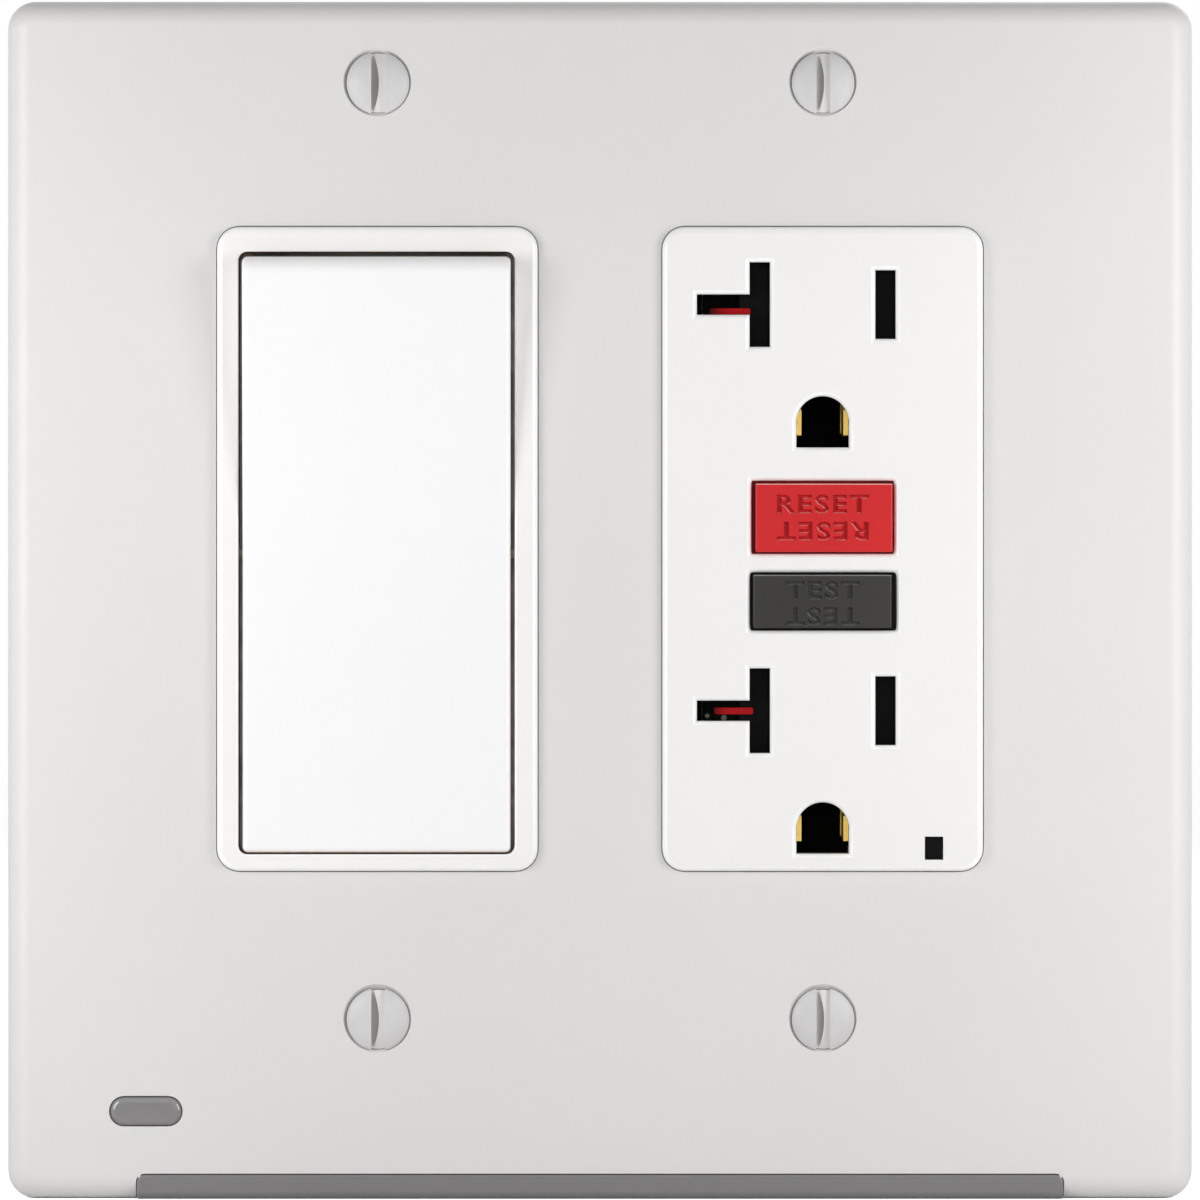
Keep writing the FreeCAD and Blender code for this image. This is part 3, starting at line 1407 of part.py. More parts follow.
def ground_bus():
    """The ground strip: a pair of leaves behind each ground hole, and a foot bent to the strap."""
    back = -s.leaf_back
    low = back - s.bus_thick
    half = s.pin_width / 2 + s.leaf
    leaf_tall = s.pin_leaf_tall / 2
    places = [ground_place(up) for up in OUTLETS.values()]
    bus = Piece("ground_bus", RIGHT_GANG)
    strap_low = -s.strap_window_height / 2
    foot = strap_low - s.strip_width
    top = places[0] + s.ground_hole + s.strip_width
    bus.add("strip", FACE, low, back, rectangle(-half, half, foot, top))
    way = s.pin_width / 2 - s.pin_way_rail
    ways = [
        rectangle(-way, way, up + s.ground_hole - s.ground_hole_tall - s.frame_room, up + s.ground_hole)
        for up in places
    ]
    bus.cut("pin_ways", FACE, low - BEYOND, back + BEYOND, *ways)
    leaves = [
        rectangle(s.pin_width / 2 * hand, half * hand, up - leaf_tall, up + leaf_tall)
        for up in places for hand in (-1, 1)
    ]
    bus.add("leaves", FACE, back, FACE_BACK - s.shutter_room, *leaves)
    bus.add(
        "riser", FACE, low, 0,
        rectangle(-half, half, foot, foot + s.bus_thick),
    )
    return bus.body



def clamp_plates():
    """The four pressure plates under the terminal screws."""
    plates = []
    start = TERMINAL_PLATE + s.terminal_plate + s.pivot_room
    end = start + s.terminal_plate
    for side_name, side in (("hot", 1), ("neutral", -1)):
        for row, up in (("upper", s.terminal_up), ("lower", -s.terminal_up)):
            label = f"{side_name}_{row}_clamp"
            ends = (start, end) if side > 0 else (-end, -start)
            across = tuple(RIGHT_GANG + x for x in ends)
            deep = s.terminal_deep
            reach = s.terminal_head
            plate = block(f"{label}_plate", *across, -deep - reach, -deep + reach, up - reach, up + reach)
            hole = rod(f"{label}_hole", "right", across[0] - BEYOND, -deep, up,
                       s.terminal_shank + s.terminal_room, s.terminal_plate + 2 * BEYOND)
            plates.append(cut(label, plate, hole))
    return group("clamp_plates", *plates)


def receptacle_screws(label, side):
    """The two terminal screws on one side of the receptacle."""
    start = TERMINAL_PLATE + 2 * s.terminal_plate + 2 * s.pivot_room
    screws = [
        terminal_screw(f"{label}_{row}", side, RIGHT_GANG, start, -s.terminal_deep, up)
        for row, up in (("upper", s.terminal_up), ("lower", -s.terminal_up))
    ]
    return group(label, *screws)


def receptacle_body():
    """The receptacle's rear body: a deep cup with terminal recesses in its sides and wire holes."""
    deep = -s.body_deep
    floor = deep + s.body_back_wall
    half = s.body_width / 2
    cavity = s.body_cavity / 2
    recess = TERMINAL_PLATE - s.terminal_room
    body = Piece("receptacle_body", RIGHT_GANG)
    body.add("cup", FACE, deep, 0, middle_rounded(s.body_width, s.body_height, s.body_round))
    body.fillet("back_round", s.back_round, at_depth(deep))
    body.cut(
        "hollow", FACE, floor, BEYOND,
        middle_rounded(s.body_cavity, s.body_height - 2 * s.body_end_wall, s.body_round / 2),
    )
    notch = s.pin_width / 2 + s.leaf + s.terminal_room
    body.cut(
        "ground_notch", FACE, -s.leaf_back - s.bus_thick - s.terminal_room, BEYOND,
        rectangle(-notch, notch, -s.body_height / 2 - BEYOND, s.body_end_wall - s.body_height / 2 + BEYOND),
    )
    tall = s.terminal_plate_tall / 2 + s.terminal_room
    top = s.leaf_back - s.terminal_room
    low = s.terminal_deep + s.terminal_head + s.terminal_plate + s.terminal_room
    ends = (s.terminal_up, -s.terminal_up)
    tab = s.strip_width + s.terminal_room
    for name, side in (("hot", 1), ("neutral", -1)):
        edge = (half + BEYOND) * side
        first, last = (recess, edge) if side > 0 else (edge, -recess)
        recesses = [rectangle(top, low, z - tall, z + tall) for z in ends]
        body.cut(f"{name}_recesses", SIDE, first, last, *recesses)
        inside = (cavity - BEYOND / 2) * side
        start, end = (inside, recess + BEYOND / 2) if side > 0 else (-recess - BEYOND / 2, inside)
        slots = [rectangle(top, top + s.bus_thick + 2 * s.terminal_room, z - tab, z + tab) for z in ends]
        bores = [circle(s.terminal_deep, z, s.terminal_shank + s.terminal_room) for z in ends]
        body.cut(f"{name}_tab_slots", SIDE, start, end, *slots, *bores)
    wires = [
        circle((recess + s.wire_hole) * x, z + y * s.terminal_head, s.wire_hole)
        for x in (-1, 1) for z in ends for y in (-1, 1)
    ]
    body.cut("wire_holes", FACE, deep - BEYOND, BEYOND - low, *wires)
    body.cut(
        "back_panel", FACE, deep - BEYOND, deep + s.back_panel_deep,
        middle_rectangle(s.back_panel_width, s.back_panel_height),
    )
    inner_end = recess - s.wire_hole
    releases = [
        rectangle((inner_end - 2 * s.wire_hole) * x, inner_end * x, z - s.release_slot, z + s.release_slot)
        for x in (-1, 1) for z in ends
    ]
    body.cut("release_slots", FACE, deep - BEYOND, deep + s.release_slot_deep, *releases)
    bores = [
        circle(s.post_across * x, s.post_up * z, s.post_bore + s.pivot_room)
        for x in (-1, 1) for z in (-1, 1)
    ]
    body.cut("screw_bores", FACE, deep - BEYOND, BEYOND, *bores)
    return body.body


BOARD_TOP = -s.board_deep


def receptacle_board():
    """The receptacle's circuit board."""
    across = s.body_cavity / 2 - s.button_room
    up = s.body_height / 2 - s.body_end_wall - s.button_room
    return block(
        "receptacle_board", RIGHT_GANG - across, RIGHT_GANG + across,
        BOARD_TOP - s.board_thick, BOARD_TOP, -up, up,
    )


def sensing_coils():
    """The two ring coils that the supply passes through."""
    rings = []
    thick = 2 * s.coil_tube
    for k, name in enumerate(("lower", "upper")):
        depth = BOARD_TOP + s.pivot_room + (thick + s.pivot_room) * k
        outside = s.coil_ring + s.coil_tube
        ring = rod(f"{name}_ring", "out", RIGHT_GANG, depth, s.terminal_up, outside, thick)
        bore = rod(f"{name}_ring_bore", "out", RIGHT_GANG, depth - BEYOND, s.terminal_up,
                   s.coil_ring - s.coil_tube, thick + 2 * BEYOND)
        rings.append(cut(f"{name}_sensing_coil", ring, bore))
    return group("sensing_coils", *rings)


TRIP_LOW = -s.terminal_up - s.coil_tube


def trip_coil():
    """The solenoid coil that releases the latch."""
    depth = BOARD_TOP + s.trip_radius + s.pivot_room
    winding = rod("trip_winding", "up", RIGHT_GANG, depth, TRIP_LOW, s.trip_radius, s.trip_length)
    bore = rod("trip_bore", "up", RIGHT_GANG, depth, TRIP_LOW + s.trip_length / 3,
               s.plunger_radius + s.pivot_room, s.trip_length)
    return cut("trip_coil", winding, bore)


def trip_plunger():
    """The plunger in the coil's bore."""
    depth = BOARD_TOP + s.trip_radius + s.pivot_room
    start = s.plunger_travel + s.plunger_rest
    return rod("trip_plunger", "up", RIGHT_GANG, depth, TRIP_LOW + s.trip_length / 3 + start,
               s.plunger_radius, s.trip_length - start)


def board_capacitor():
    """The smoothing capacitor that stands on the receptacle's board."""
    return rod("board_capacitor", "out", RIGHT_GANG - s.board_capacitor_across, BOARD_TOP,
               -s.board_capacitor_down, s.capacitor_radius, s.board_capacitor_tall)


# The night light

def light_bar():
    """The smoked lens along the plate's foot, with a flange behind the plate's front wall."""
    half = s.bar_width / 2
    low = PLATE_LOW
    high = low + s.bar_height
    r = s.bar_corner
    bar = Piece("light_bar_lens")
    bar.add(
        "bar", FACE, s.bar_back + s.bar_room, s.plate_depth,
        outline(
            (-half, low), (half, low), (half, high - r, r), (half - r, high),
            (-half + r, high, r), (-half, high - r),
        ),
    )
    lower_front = both(
        along("x"), lambda e: near(e.BoundBox.YMin, -s.plate_depth) and near(e.BoundBox.ZMin, low)
    )
    bar.fillet("round", s.plate_round, lower_front)
    back = PLATE_BACK - s.bar_room
    bar.add(
        "flange", FACE, back - s.bar_flange, back,
        rectangle(-half + r, half - r, low + s.bar_height / 2, high + s.bar_flange_up),
    )
    return bar.body


def sensor_lens():
    """The smoked window over the photocell, with a flange behind the plate."""
    end = (s.sensor_width - s.sensor_height) / 2
    left = -s.sensor_across - end
    right = end - s.sensor_across
    front = s.plate_depth + s.sensor_dome
    back = PLATE_BACK - s.bar_room
    lens = Piece("sensor_lens")
    lens.add("window", FACE, back, front, obround(left, right, -s.sensor_down, s.sensor_height / 2))
    lens.fillet("dome", 2 * s.sensor_dome, at_depth(front))
    lens.add(
        "flange", FACE, back - s.bar_flange / 2, back,
        obround(left, right, -s.sensor_down, s.sensor_height / 2 + s.sensor_flange),
    )
    return lens.body


def slider_slot(room):
    """The slot that the brightness slider runs in."""
    half = s.slider_travel / 2 + s.slider_width / 2 + room
    return middle_rectangle(2 * half, s.slider_height + 2 * room, -s.slider_across, -s.slider_down)


def light_board():
    """The night light's long circuit board."""
    half = s.light_board_width / 2
    board = Piece("light_board")
    board.add(
        "board", FACE, s.light_board_depth, BOARD_FRONT,
        rectangle(-half, half, BOARD_LOW, BOARD_HIGH),
    )
    holes = [circle(x, -s.cover_screw_down, s.cover_screw_radius + s.pivot_room) for x in COVER_SCREWS]
    board.cut("holes", FACE, 0, BOARD_FRONT + BEYOND, slider_slot(s.slider_room), *holes)
    return board.body


LAMP_PLACES = [(k - (LAMPS - 1) / 2) * s.lamp_pitch for k in range(LAMPS)]


def light_emitters():
    """The row of light emitters that shine into the light bar."""
    low = PLATE_LOW + s.bar_height + s.bar_flange_up + s.slider_room
    lamps = []
    for k, x in enumerate(LAMP_PLACES):
        lamps.append(block(
            f"emitter_{k}", x - s.lamp_width / 2, x + s.lamp_width / 2,
            BOARD_FRONT, BOARD_FRONT + s.lamp_thick, low, low + s.lamp_height,
        ))
    return group("light_emitters", *lamps)


def photocell():
    """The photocell behind the sensor lens."""
    length = PLATE_BACK - s.bar_room - s.bar_flange / 2 - s.bar_room - BOARD_FRONT
    return rod("photocell", "out", -s.sensor_across, BOARD_FRONT, -s.sensor_down, s.cell_radius, length)


def back_cover():
    """The rear cover over the night light's board."""
    half = s.cover_width / 2
    low = PLATE_LOW + s.plate_side_wall + s.strap_room
    back = s.cover_depth
    front = back + s.cover_thick
    cover = Piece("back_cover")
    cover.add("panel", FACE, back, front, rounded(-half, half, low, low + s.cover_height, s.bar_corner))
    holes = [circle(x, -s.cover_screw_down, s.cover_screw_radius + s.bar_room) for x in COVER_SCREWS]
    cover.cut("holes", FACE, 0, front + BEYOND, slider_slot(s.slider_room), *holes)
    sinks = [circle(x, -s.cover_screw_down, s.cover_screw_head + s.bar_room) for x in COVER_SCREWS]
    cover.cut("sinks", FACE, 0, back + s.cover_thick / 2, *sinks)
    vents = [
        obround(x - s.vent_half, x + s.vent_half, low + s.vent_foot, s.vent_radius)
        for x in LAMP_PLACES
    ]
    cover.cut("vents", FACE, 0, front + BEYOND, *vents)
    return cover.body


def cover_screws():
    """The three small screws that hold the cover and the board to the plate."""
    screws = []
    seat = s.cover_depth + s.cover_thick / 2
    for k, x in enumerate(COVER_SCREWS):
        up = -s.cover_screw_down
        head = rod(f"cover_head_{k}", "in", x, seat, up, s.cover_screw_head, s.cover_thick / 2)
        shank = rod(f"cover_shank_{k}", "out", x, seat, up, s.cover_screw_radius - s.pivot_room / 2,
                    PLATE_BACK - seat - s.bar_room)
        screws.append(fuse(f"cover_screw_{k}", head, shank))
    return group("cover_screws", *screws)


def slider_case():
    """The slide switch's case on the board."""
    wall = s.slider_case_wall
    half = s.slider_travel / 2 + s.slider_width + wall
    tall = s.slider_height / 2 + 2 * wall
    front = PLATE_BACK - s.bar_room
    case = Piece("slider_case")
    case.add(
        "case", FACE, BOARD_FRONT, front,
        middle_rectangle(2 * half, 2 * tall, -s.slider_across, -s.slider_down),
    )
    case.cut(
        "hollow", FACE, BOARD_FRONT - BEYOND, front - wall,
        middle_rectangle(2 * (half - wall), 2 * (tall - wall), -s.slider_across, -s.slider_down),
    )
    return case.body


def brightness_slider():
    """The knob of the brightness switch, reached from behind the plate."""
    across = -s.slider_across - s.slider_travel / 2
    wall = s.slider_case_wall
    knob = Piece("brightness_slider")
    knob.add(
        "knob", FACE, s.cover_depth, BOARD_FRONT + s.slider_room,
        middle_rectangle(s.slider_width, s.slider_height, across, -s.slider_down),
    )
    knob.add(
        "foot", FACE, BOARD_FRONT + s.slider_room / 2, PLATE_BACK - s.bar_room - wall - s.slider_room / 2,
        middle_rectangle(s.slider_width + wall, s.slider_height + wall, across, -s.slider_down),
    )
    return knob.body


def dropper_capacitor():
    """The flat capacitor that drops the supply for the emitters."""
    half = s.capacitor_width / 2
    tall = s.capacitor_height / 2
    return block(
        "dropper_capacitor", s.capacitor_across - half, s.capacitor_across + half,
        BOARD_FRONT, PLATE_BACK - s.bar_room, -s.slider_down - tall, tall - s.slider_down,
    )


ARM_MIDDLE = s.arm_across + s.arm_thick / 2 + s.foot_room


def contact_arm(label, side):
    """An insulated arm that runs back beside the receptacle, on a foot down the plate's back."""
    front = PLATE_BACK - s.foot_room
    back = front - s.foot_thick
    inside = s.arm_across
    outside = s.arm_across + s.arm_thick
    foot_in = ARM_MIDDLE - s.foot_width / 2
    foot_out = ARM_MIDDLE + s.foot_width / 2
    low = -s.terminal_up - s.arm_tall / 2
    high = s.arm_tall / 2 - s.terminal_up
    foot_low = BOARD_HIGH + BEYOND
    arm = Piece(label, RIGHT_GANG)
    arm.add("foot", FACE, back, front, rectangle(foot_in * side, foot_out * side, foot_low, high))
    taper = s.arm_tall / 4
    profile = outline(
        (-back, low), (s.arm_back, low + taper), (s.arm_back, high - taper), (-back, high),
    )
    first, last = (inside, outside) if side > 0 else (-outside, -inside)
    arm.add("arm", SIDE, first, last, profile)
    strip = s.strip_width / 2 + s.foot_room
    middle = ARM_MIDDLE
    arm.cut(
        "strip_channel", FACE, front - s.strip_thick - s.foot_room, front + BEYOND,
        rectangle((middle - strip) * side, (middle + strip) * side, foot_low - BEYOND, high - taper),
    )
    tall = s.strip_width + s.foot_room
    arm.cut(
        "leaf_channel", FACE, back - BEYOND, front + BEYOND,
        rectangle((foot_in - BEYOND) * side, inside * side, -s.terminal_up - tall, tall - s.terminal_up),
    )
    arm.cut(
        "bend_channel", FACE, front - s.strip_thick - s.foot_room, front + BEYOND,
        rectangle((foot_in - BEYOND) * side, middle * side, -s.terminal_up - tall, tall - s.terminal_up),
    )
    return arm.body


def contact_strip(label, side):
    """A strip from the night light's board to a leaf that bows out to the terminal screw."""
    front = PLATE_BACK - s.foot_room
    back = front - s.strip_thick
    thick = s.strip_thick
    root = s.arm_across
    head = TERMINAL_PLATE + 2 * s.terminal_plate + 2 * s.pivot_room + s.terminal_head_thick + s.pivot_room
    near_y = s.terminal_deep - s.strip_width / 4
    far_y = s.terminal_deep + s.strip_width / 4
    start = s.terminal_deep / 2
    finish = s.arm_back - s.strip_width
    strip = Piece(label, RIGHT_GANG)
    leaf = outline(
        (root * side, -front), (root * side, start), ((head + thick) * side, near_y),
        ((head + thick) * side, far_y), (root * side, finish), ((root - thick) * side, finish),
        (head * side, far_y), (head * side, near_y), ((root - thick) * side, start),
        ((root - thick) * side, -front),
    )
    strip.add("leaf", LEVEL, -s.terminal_up - s.strip_width, s.strip_width - s.terminal_up, leaf)
    middle = ARM_MIDDLE
    left = middle - s.strip_width / 2
    right = middle + s.strip_width / 2
    low = BOARD_HIGH - s.strip_width
    run = outline(
        (left * side, low), (right * side, low), (right * side, s.strip_width - s.terminal_up),
        ((root - thick) * side, s.strip_width - s.terminal_up),
        ((root - thick) * side, -s.terminal_up - s.strip_width),
        (left * side, -s.terminal_up - s.strip_width),
    )
    strip.add("run", FACE, back, front, run)
    strip.add(
        "tail", FACE, BOARD_FRONT, front,
        rectangle(left * side, right * side, low, low + s.strip_thick),
    )
    return strip.body


def make_all():
    """Build every piece and return the objects that become nodes."""
    nodes = [wall_plate(), plate_screws(), light_bar(), sensor_lens(), light_board()]
    nodes += [light_emitters(), photocell(), back_cover(), cover_screws(), slider_case()]
    nodes += [brightness_slider(), dropper_capacitor()]
    for name, side in (("left", -1), ("right", 1)):
        nodes += [contact_arm(f"{name}_contact_arm", side), contact_strip(f"{name}_contact_strip", side)]
    nodes += [strap("switch_strap", LEFT_GANG), switch_bezel(), rocker_paddle(), contact_lever()]
    nodes += [rocker_spring(), switch_housing()]
    nodes += [switch_contact("switch_line_contact", 1), switch_contact("switch_load_contact", -1)]
    nodes += [switch_terminal_screws(), ground_screw("switch_ground_screw", LEFT_GANG)]
    nodes += [corner_fasteners("switch_rivets", LEFT_GANG, s.switch_flange)]
    nodes += [strap("receptacle_strap", RIGHT_GANG), receptacle_face(), status_window(), middle_frame()]
    nodes += [reset_button(), reset_spring(), test_button(), test_spring()]
    for name, up in OUTLETS.items():
        nodes += [shutter(name, up), shutter_spring(name, up)]
    nodes += [blade_bus("hot_bus", 1), blade_bus("neutral_bus", -1), ground_bus(), clamp_plates()]
    nodes += [receptacle_screws("brass_terminal_screws", 1)]
    nodes += [receptacle_screws("silver_terminal_screws", -1)]
    nodes += [ground_screw("receptacle_ground_screw", RIGHT_GANG), receptacle_body(), receptacle_board()]
    nodes += [sensing_coils(), trip_coil(), trip_plunger(), board_capacitor()]
    nodes += [corner_fasteners("body_screws", RIGHT_GANG, s.body_deep)]
    return nodes


def check(nodes):
    """Stop if any object failed, or a piece is empty or broken."""
    for thing in doc.Objects:
        for state in ("Invalid", "Error"):
            if state in thing.State:
                raise RuntimeError(f"{thing.Name} is {state}")
        base = getattr(thing, "BaseFeature", None)
        if thing.TypeId == "PartDesign::Pocket" and thing.Shape.Volume > base.Shape.Volume - 1e-6:
            raise RuntimeError(f"{thing.Name} cuts nothing")
    for node in nodes:
        if node.Shape.isNull() or not node.Shape.isValid():
            raise RuntimeError(f"{node.Label} is not a sound shape")


pieces = make_all()
doc.recompute()
check(pieces)
os.makedirs("parts", exist_ok=True)
for piece in pieces:
    piece.Shape.exportStep(f"parts/{piece.Label}.step")
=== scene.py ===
"""Two-gang night light wall plate over a rocker switch and a test and reset receptacle.

Pieces are modelled in place, in metres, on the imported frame. Lengths in the calls below are in
millimetres and a depth is a height in front of the wall.
"""
import json
import math

import bmesh
import bpy
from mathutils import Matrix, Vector


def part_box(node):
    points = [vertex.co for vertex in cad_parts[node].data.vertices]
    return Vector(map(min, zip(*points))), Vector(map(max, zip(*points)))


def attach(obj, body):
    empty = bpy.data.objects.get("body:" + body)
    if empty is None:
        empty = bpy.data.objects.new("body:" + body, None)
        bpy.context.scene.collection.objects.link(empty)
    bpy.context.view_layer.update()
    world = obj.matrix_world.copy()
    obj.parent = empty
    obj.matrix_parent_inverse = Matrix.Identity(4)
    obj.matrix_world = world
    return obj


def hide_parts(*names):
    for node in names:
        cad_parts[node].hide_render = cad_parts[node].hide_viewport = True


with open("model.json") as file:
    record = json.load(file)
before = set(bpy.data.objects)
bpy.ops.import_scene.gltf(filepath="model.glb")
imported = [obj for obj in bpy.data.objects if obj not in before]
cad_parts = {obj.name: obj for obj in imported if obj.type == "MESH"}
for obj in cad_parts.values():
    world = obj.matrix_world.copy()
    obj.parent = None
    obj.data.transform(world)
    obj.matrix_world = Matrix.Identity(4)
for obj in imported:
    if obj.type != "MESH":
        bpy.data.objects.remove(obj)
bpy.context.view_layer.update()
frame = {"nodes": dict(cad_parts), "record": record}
MM = 0.001
NODES = frame["nodes"]
SLOTS = {part["node"]: part["material_slot"] for part in frame["record"]["subparts"]}
BODY_OF = {
    node: body
    for body, nodes in frame["record"]["behaviour"]["bodies"].items()
    for node in nodes
}
bpy.ops.object.select_all(action="DESELECT")

# Places and depths that several pieces share

LEFT = -23.02
RIGHT = 23.02
SCREW_UP = 48.42
WALL = 0.0
PLATE_FRONT = 6.5
DEVICE_FRONT = 7.4
BUTTON_FRONT = 7.6
OUTLETS_UP = (25.4, -16.6)


# Working on one piece

def only(piece):
    """Select one piece and nothing else."""
    if bpy.context.object and bpy.context.object.mode != "OBJECT":
        bpy.ops.object.mode_set(mode="OBJECT")
    bpy.ops.object.select_all(action="DESELECT")
    piece.select_set(True)
    bpy.context.view_layer.objects.active = piece
    return piece


def pick(piece, kind, wanted):
    """Open a piece for editing with only the wanted edges or faces selected."""
    only(piece)
    bpy.ops.object.mode_set(mode="EDIT")
    bpy.ops.mesh.select_mode(type=kind)
    bpy.ops.mesh.select_all(action="DESELECT")
    mesh = bmesh.from_edit_mesh(piece.data)
    for thing in {"EDGE": mesh.edges, "FACE": mesh.faces}[kind]:
        if wanted(thing):
            thing.select_set(True)
    bmesh.update_edit_mesh(piece.data)


def close(piece):
    """Leave editing."""
    bpy.ops.object.mode_set(mode="OBJECT")
    return piece


def round_off(piece, wanted, width, steps):
    """Bevel the wanted edges."""
    pick(piece, "EDGE", wanted)
    bpy.ops.mesh.bevel(offset=width * MM, segments=steps, affect="EDGES", clamp_overlap=True)
    return close(piece)


def place(thing, axis):
    """The places of the ends of an edge along one axis, in millimetres."""
    return [v.co[axis] / MM for v in thing.verts]


def same(value, target):
    """Whether two lengths agree."""
    return abs(value - target) < 0.004


def fore_and_aft(edge):
    """Edges that run straight out from the wall."""
    x, z = place(edge, 0), place(edge, 2)
    return same(x[0], x[1]) and same(z[0], z[1])


def at_depth(depth, sharp=0.3):
    """Sharp edges that lie at one depth."""

    def wanted(edge):
        if not all(same(-y, depth) for y in place(edge, 1)):
            return False
        return len(edge.link_faces) == 2 and edge.calc_face_angle(0) > sharp

    return wanted


def smooth(piece, angle=32):
    """Smooth shading that leaves wide flats flat."""
    only(piece)
    bpy.ops.object.shade_smooth_by_angle(angle=math.radians(angle))
    modifier = piece.modifiers.new("flats", "WEIGHTED_NORMAL")
    modifier.keep_sharp = True
    modifier.weight = 80
    bpy.ops.object.modifier_apply(modifier=modifier.name)
    return piece


def tidy(piece):
    """Merge doubles and turn the faces outwards."""
    only(piece)
    bpy.ops.object.mode_set(mode="EDIT")
    bpy.ops.mesh.select_all(action="SELECT")
    bpy.ops.mesh.remove_doubles(threshold=0.000001)
    bpy.ops.mesh.normals_make_consistent(inside=False)
    return close(piece)


def settle():
    """Put the place, turn and size of the selected piece into its mesh."""
    bpy.ops.object.transform_apply(location=True, rotation=True, scale=True)


def hollow(piece, wall, deep):
    """Sink the back of a piece inside its wall."""
    pick(piece, "FACE", lambda f: f.normal.y > 0.99)
    bpy.ops.mesh.inset(thickness=wall * MM, depth=0)
    bpy.ops.mesh.extrude_region_move(TRANSFORM_OT_translate={"value": (0, -deep * MM, 0)})
    return close(piece)


# Starting shapes

def block(name, left, right, back, front, low, high):
    """A block between two depths, with its place in its mesh."""
    middle = ((left + right) / 2 * MM, -(back + front) / 2 * MM, (low + high) / 2 * MM)
    size = ((right - left) * MM, (front - back) * MM, (high - low) * MM)
    bpy.ops.mesh.primitive_cube_add(size=1, location=middle, scale=size)
    piece = bpy.context.object
    piece.name = name
    settle()
    return piece


def rounded_block(name, left, right, back, front, low, high, corner, steps=6):
    """A block whose corners, seen from the front, are round."""
    piece = block(name, left, right, back, front, low, high)
    return round_off(piece, fore_and_aft, corner, steps)


TURNS = {
    "in": (-90, 0, 0),
    "out": (90, 0, 0),
    "right": (0, 90, 0),
}


def turned(name, across, depth, up, way, stations, sides=48):
    """A round piece turned about a line: a disc drawn out through (distance, radius) stations."""
    start, radius = stations[0]
    bpy.ops.mesh.primitive_circle_add(
        vertices=sides, radius=radius * MM, fill_type="NGON", location=(0, 0, start * MM)
    )
    piece = bpy.context.object
    piece.name = name
    settle()
    bpy.ops.object.mode_set(mode="EDIT")
    bpy.ops.mesh.select_all(action="SELECT")
    for (was, wide), (now, next_wide) in zip(stations, stations[1:]):
        bpy.ops.mesh.extrude_region_move(TRANSFORM_OT_translate={"value": (0, 0, (now - was) * MM)})
        scale = next_wide / wide
        bpy.ops.transform.resize(value=(scale, scale, 1), center_override=(0, 0, now * MM))
    bpy.ops.mesh.select_all(action="SELECT")
    bpy.ops.mesh.normals_make_consistent(inside=False)
    close(piece)
    piece.rotation_euler = [math.radians(a) for a in TURNS[way]]
    piece.location = (across * MM, -depth * MM, up * MM)
    settle()
    return piece


def rod(name, across, depth, up, way, radius, length, sides=48):
    """A straight round piece."""
    return turned(name, across, depth, up, way, [(0, radius), (length, radius)], sides)


def combine(piece, operation, tools):
    """Add tools to a piece or take them out of it, and put the tools away."""
    for tool in tools:
        only(piece)
        modifier = piece.modifiers.new("combine", "BOOLEAN")
        modifier.operation = operation
        modifier.solver = "EXACT"
        modifier.object = tool
        bpy.ops.object.modifier_apply(modifier=modifier.name)
        bpy.data.objects.remove(tool, do_unlink=True)
    return piece


def carve(piece, *tools):
    """Take the tools out of a piece."""
    return combine(piece, "DIFFERENCE", tools)


def weld(piece, *tools):
    """Add the tools to a piece."""
    return combine(piece, "UNION", tools)


def copy(piece, name, across=0.0, depth=0.0, up=0.0):
    """A copy with its own mesh, moved in its mesh."""
    twin = piece.copy()
    twin.data = piece.data.copy()
    twin.name = name
    bpy.context.scene.collection.objects.link(twin)
    only(twin)
    twin.location = (across * MM, -depth * MM, up * MM)
    settle()
    return twin


def join(name, *pieces):
    """Several pieces as one object."""
    only(pieces[0])
    for piece in pieces[1:]:
        piece.select_set(True)
    bpy.ops.object.join()
    whole = bpy.context.object
    whole.name = name
    return whole


def add_finishes(piece, finishes, chosen):
    """Give a piece more finishes, and each of its faces the one that is chosen for it."""
    for finish in finishes:
        piece.data.materials.append(FINISHES[finish])
    for face in piece.data.polygons:
        x, y, z = (value / MM for value in face.center)
        face.material_index = chosen(face, x, -y, z)


def finish_piece(piece, finish, *nodes, body=None):
    """Give a piece its material, its body and the CAD nodes it stands for."""
    piece.data.materials.clear()
    piece.data.materials.append(FINISHES[finish])
    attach(piece, body or BODY_OF[nodes[0]])
    if nodes:
        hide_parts(*nodes)
    return piece


# Camera: straight on, from far enough away that the sides stay hidden

PIXELS = 1200
PIXELS_PER_MM = 9.67
CAMERA_AWAY = 1500.0
SENSOR = 36.0
plate_low, plate_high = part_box("wall_plate")
camera_data = bpy.data.cameras.new("camera")
camera = bpy.data.objects.new("camera", camera_data)
bpy.context.scene.collection.objects.link(camera)
camera.location = (0, -CAMERA_AWAY * MM, (plate_low.z + plate_high.z) / 2)
camera.rotation_euler = (math.radians(90), 0, 0)
camera_data.sensor_width = SENSOR
camera_data.lens = SENSOR * (CAMERA_AWAY - PLATE_FRONT) / (PIXELS / PIXELS_PER_MM)
camera_data.clip_start = 0.01
camera_data.clip_end = 20
bpy.context.scene.camera = camera


# Node work

def feed(tree, socket, value):
    """Link a value that comes from a node, or set it on the socket."""
    if isinstance(value, bpy.types.NodeSocket):
        tree.links.new(value, socket)
    else:
        socket.default_value = value


def sockets(tree, way, rows):
    """Give a group its named inputs or outputs."""
    for label, kind, *value in rows:
        socket = tree.interface.new_socket(name=label, in_out=way, socket_type=kind)
        if value:
            socket.default_value = value[0]


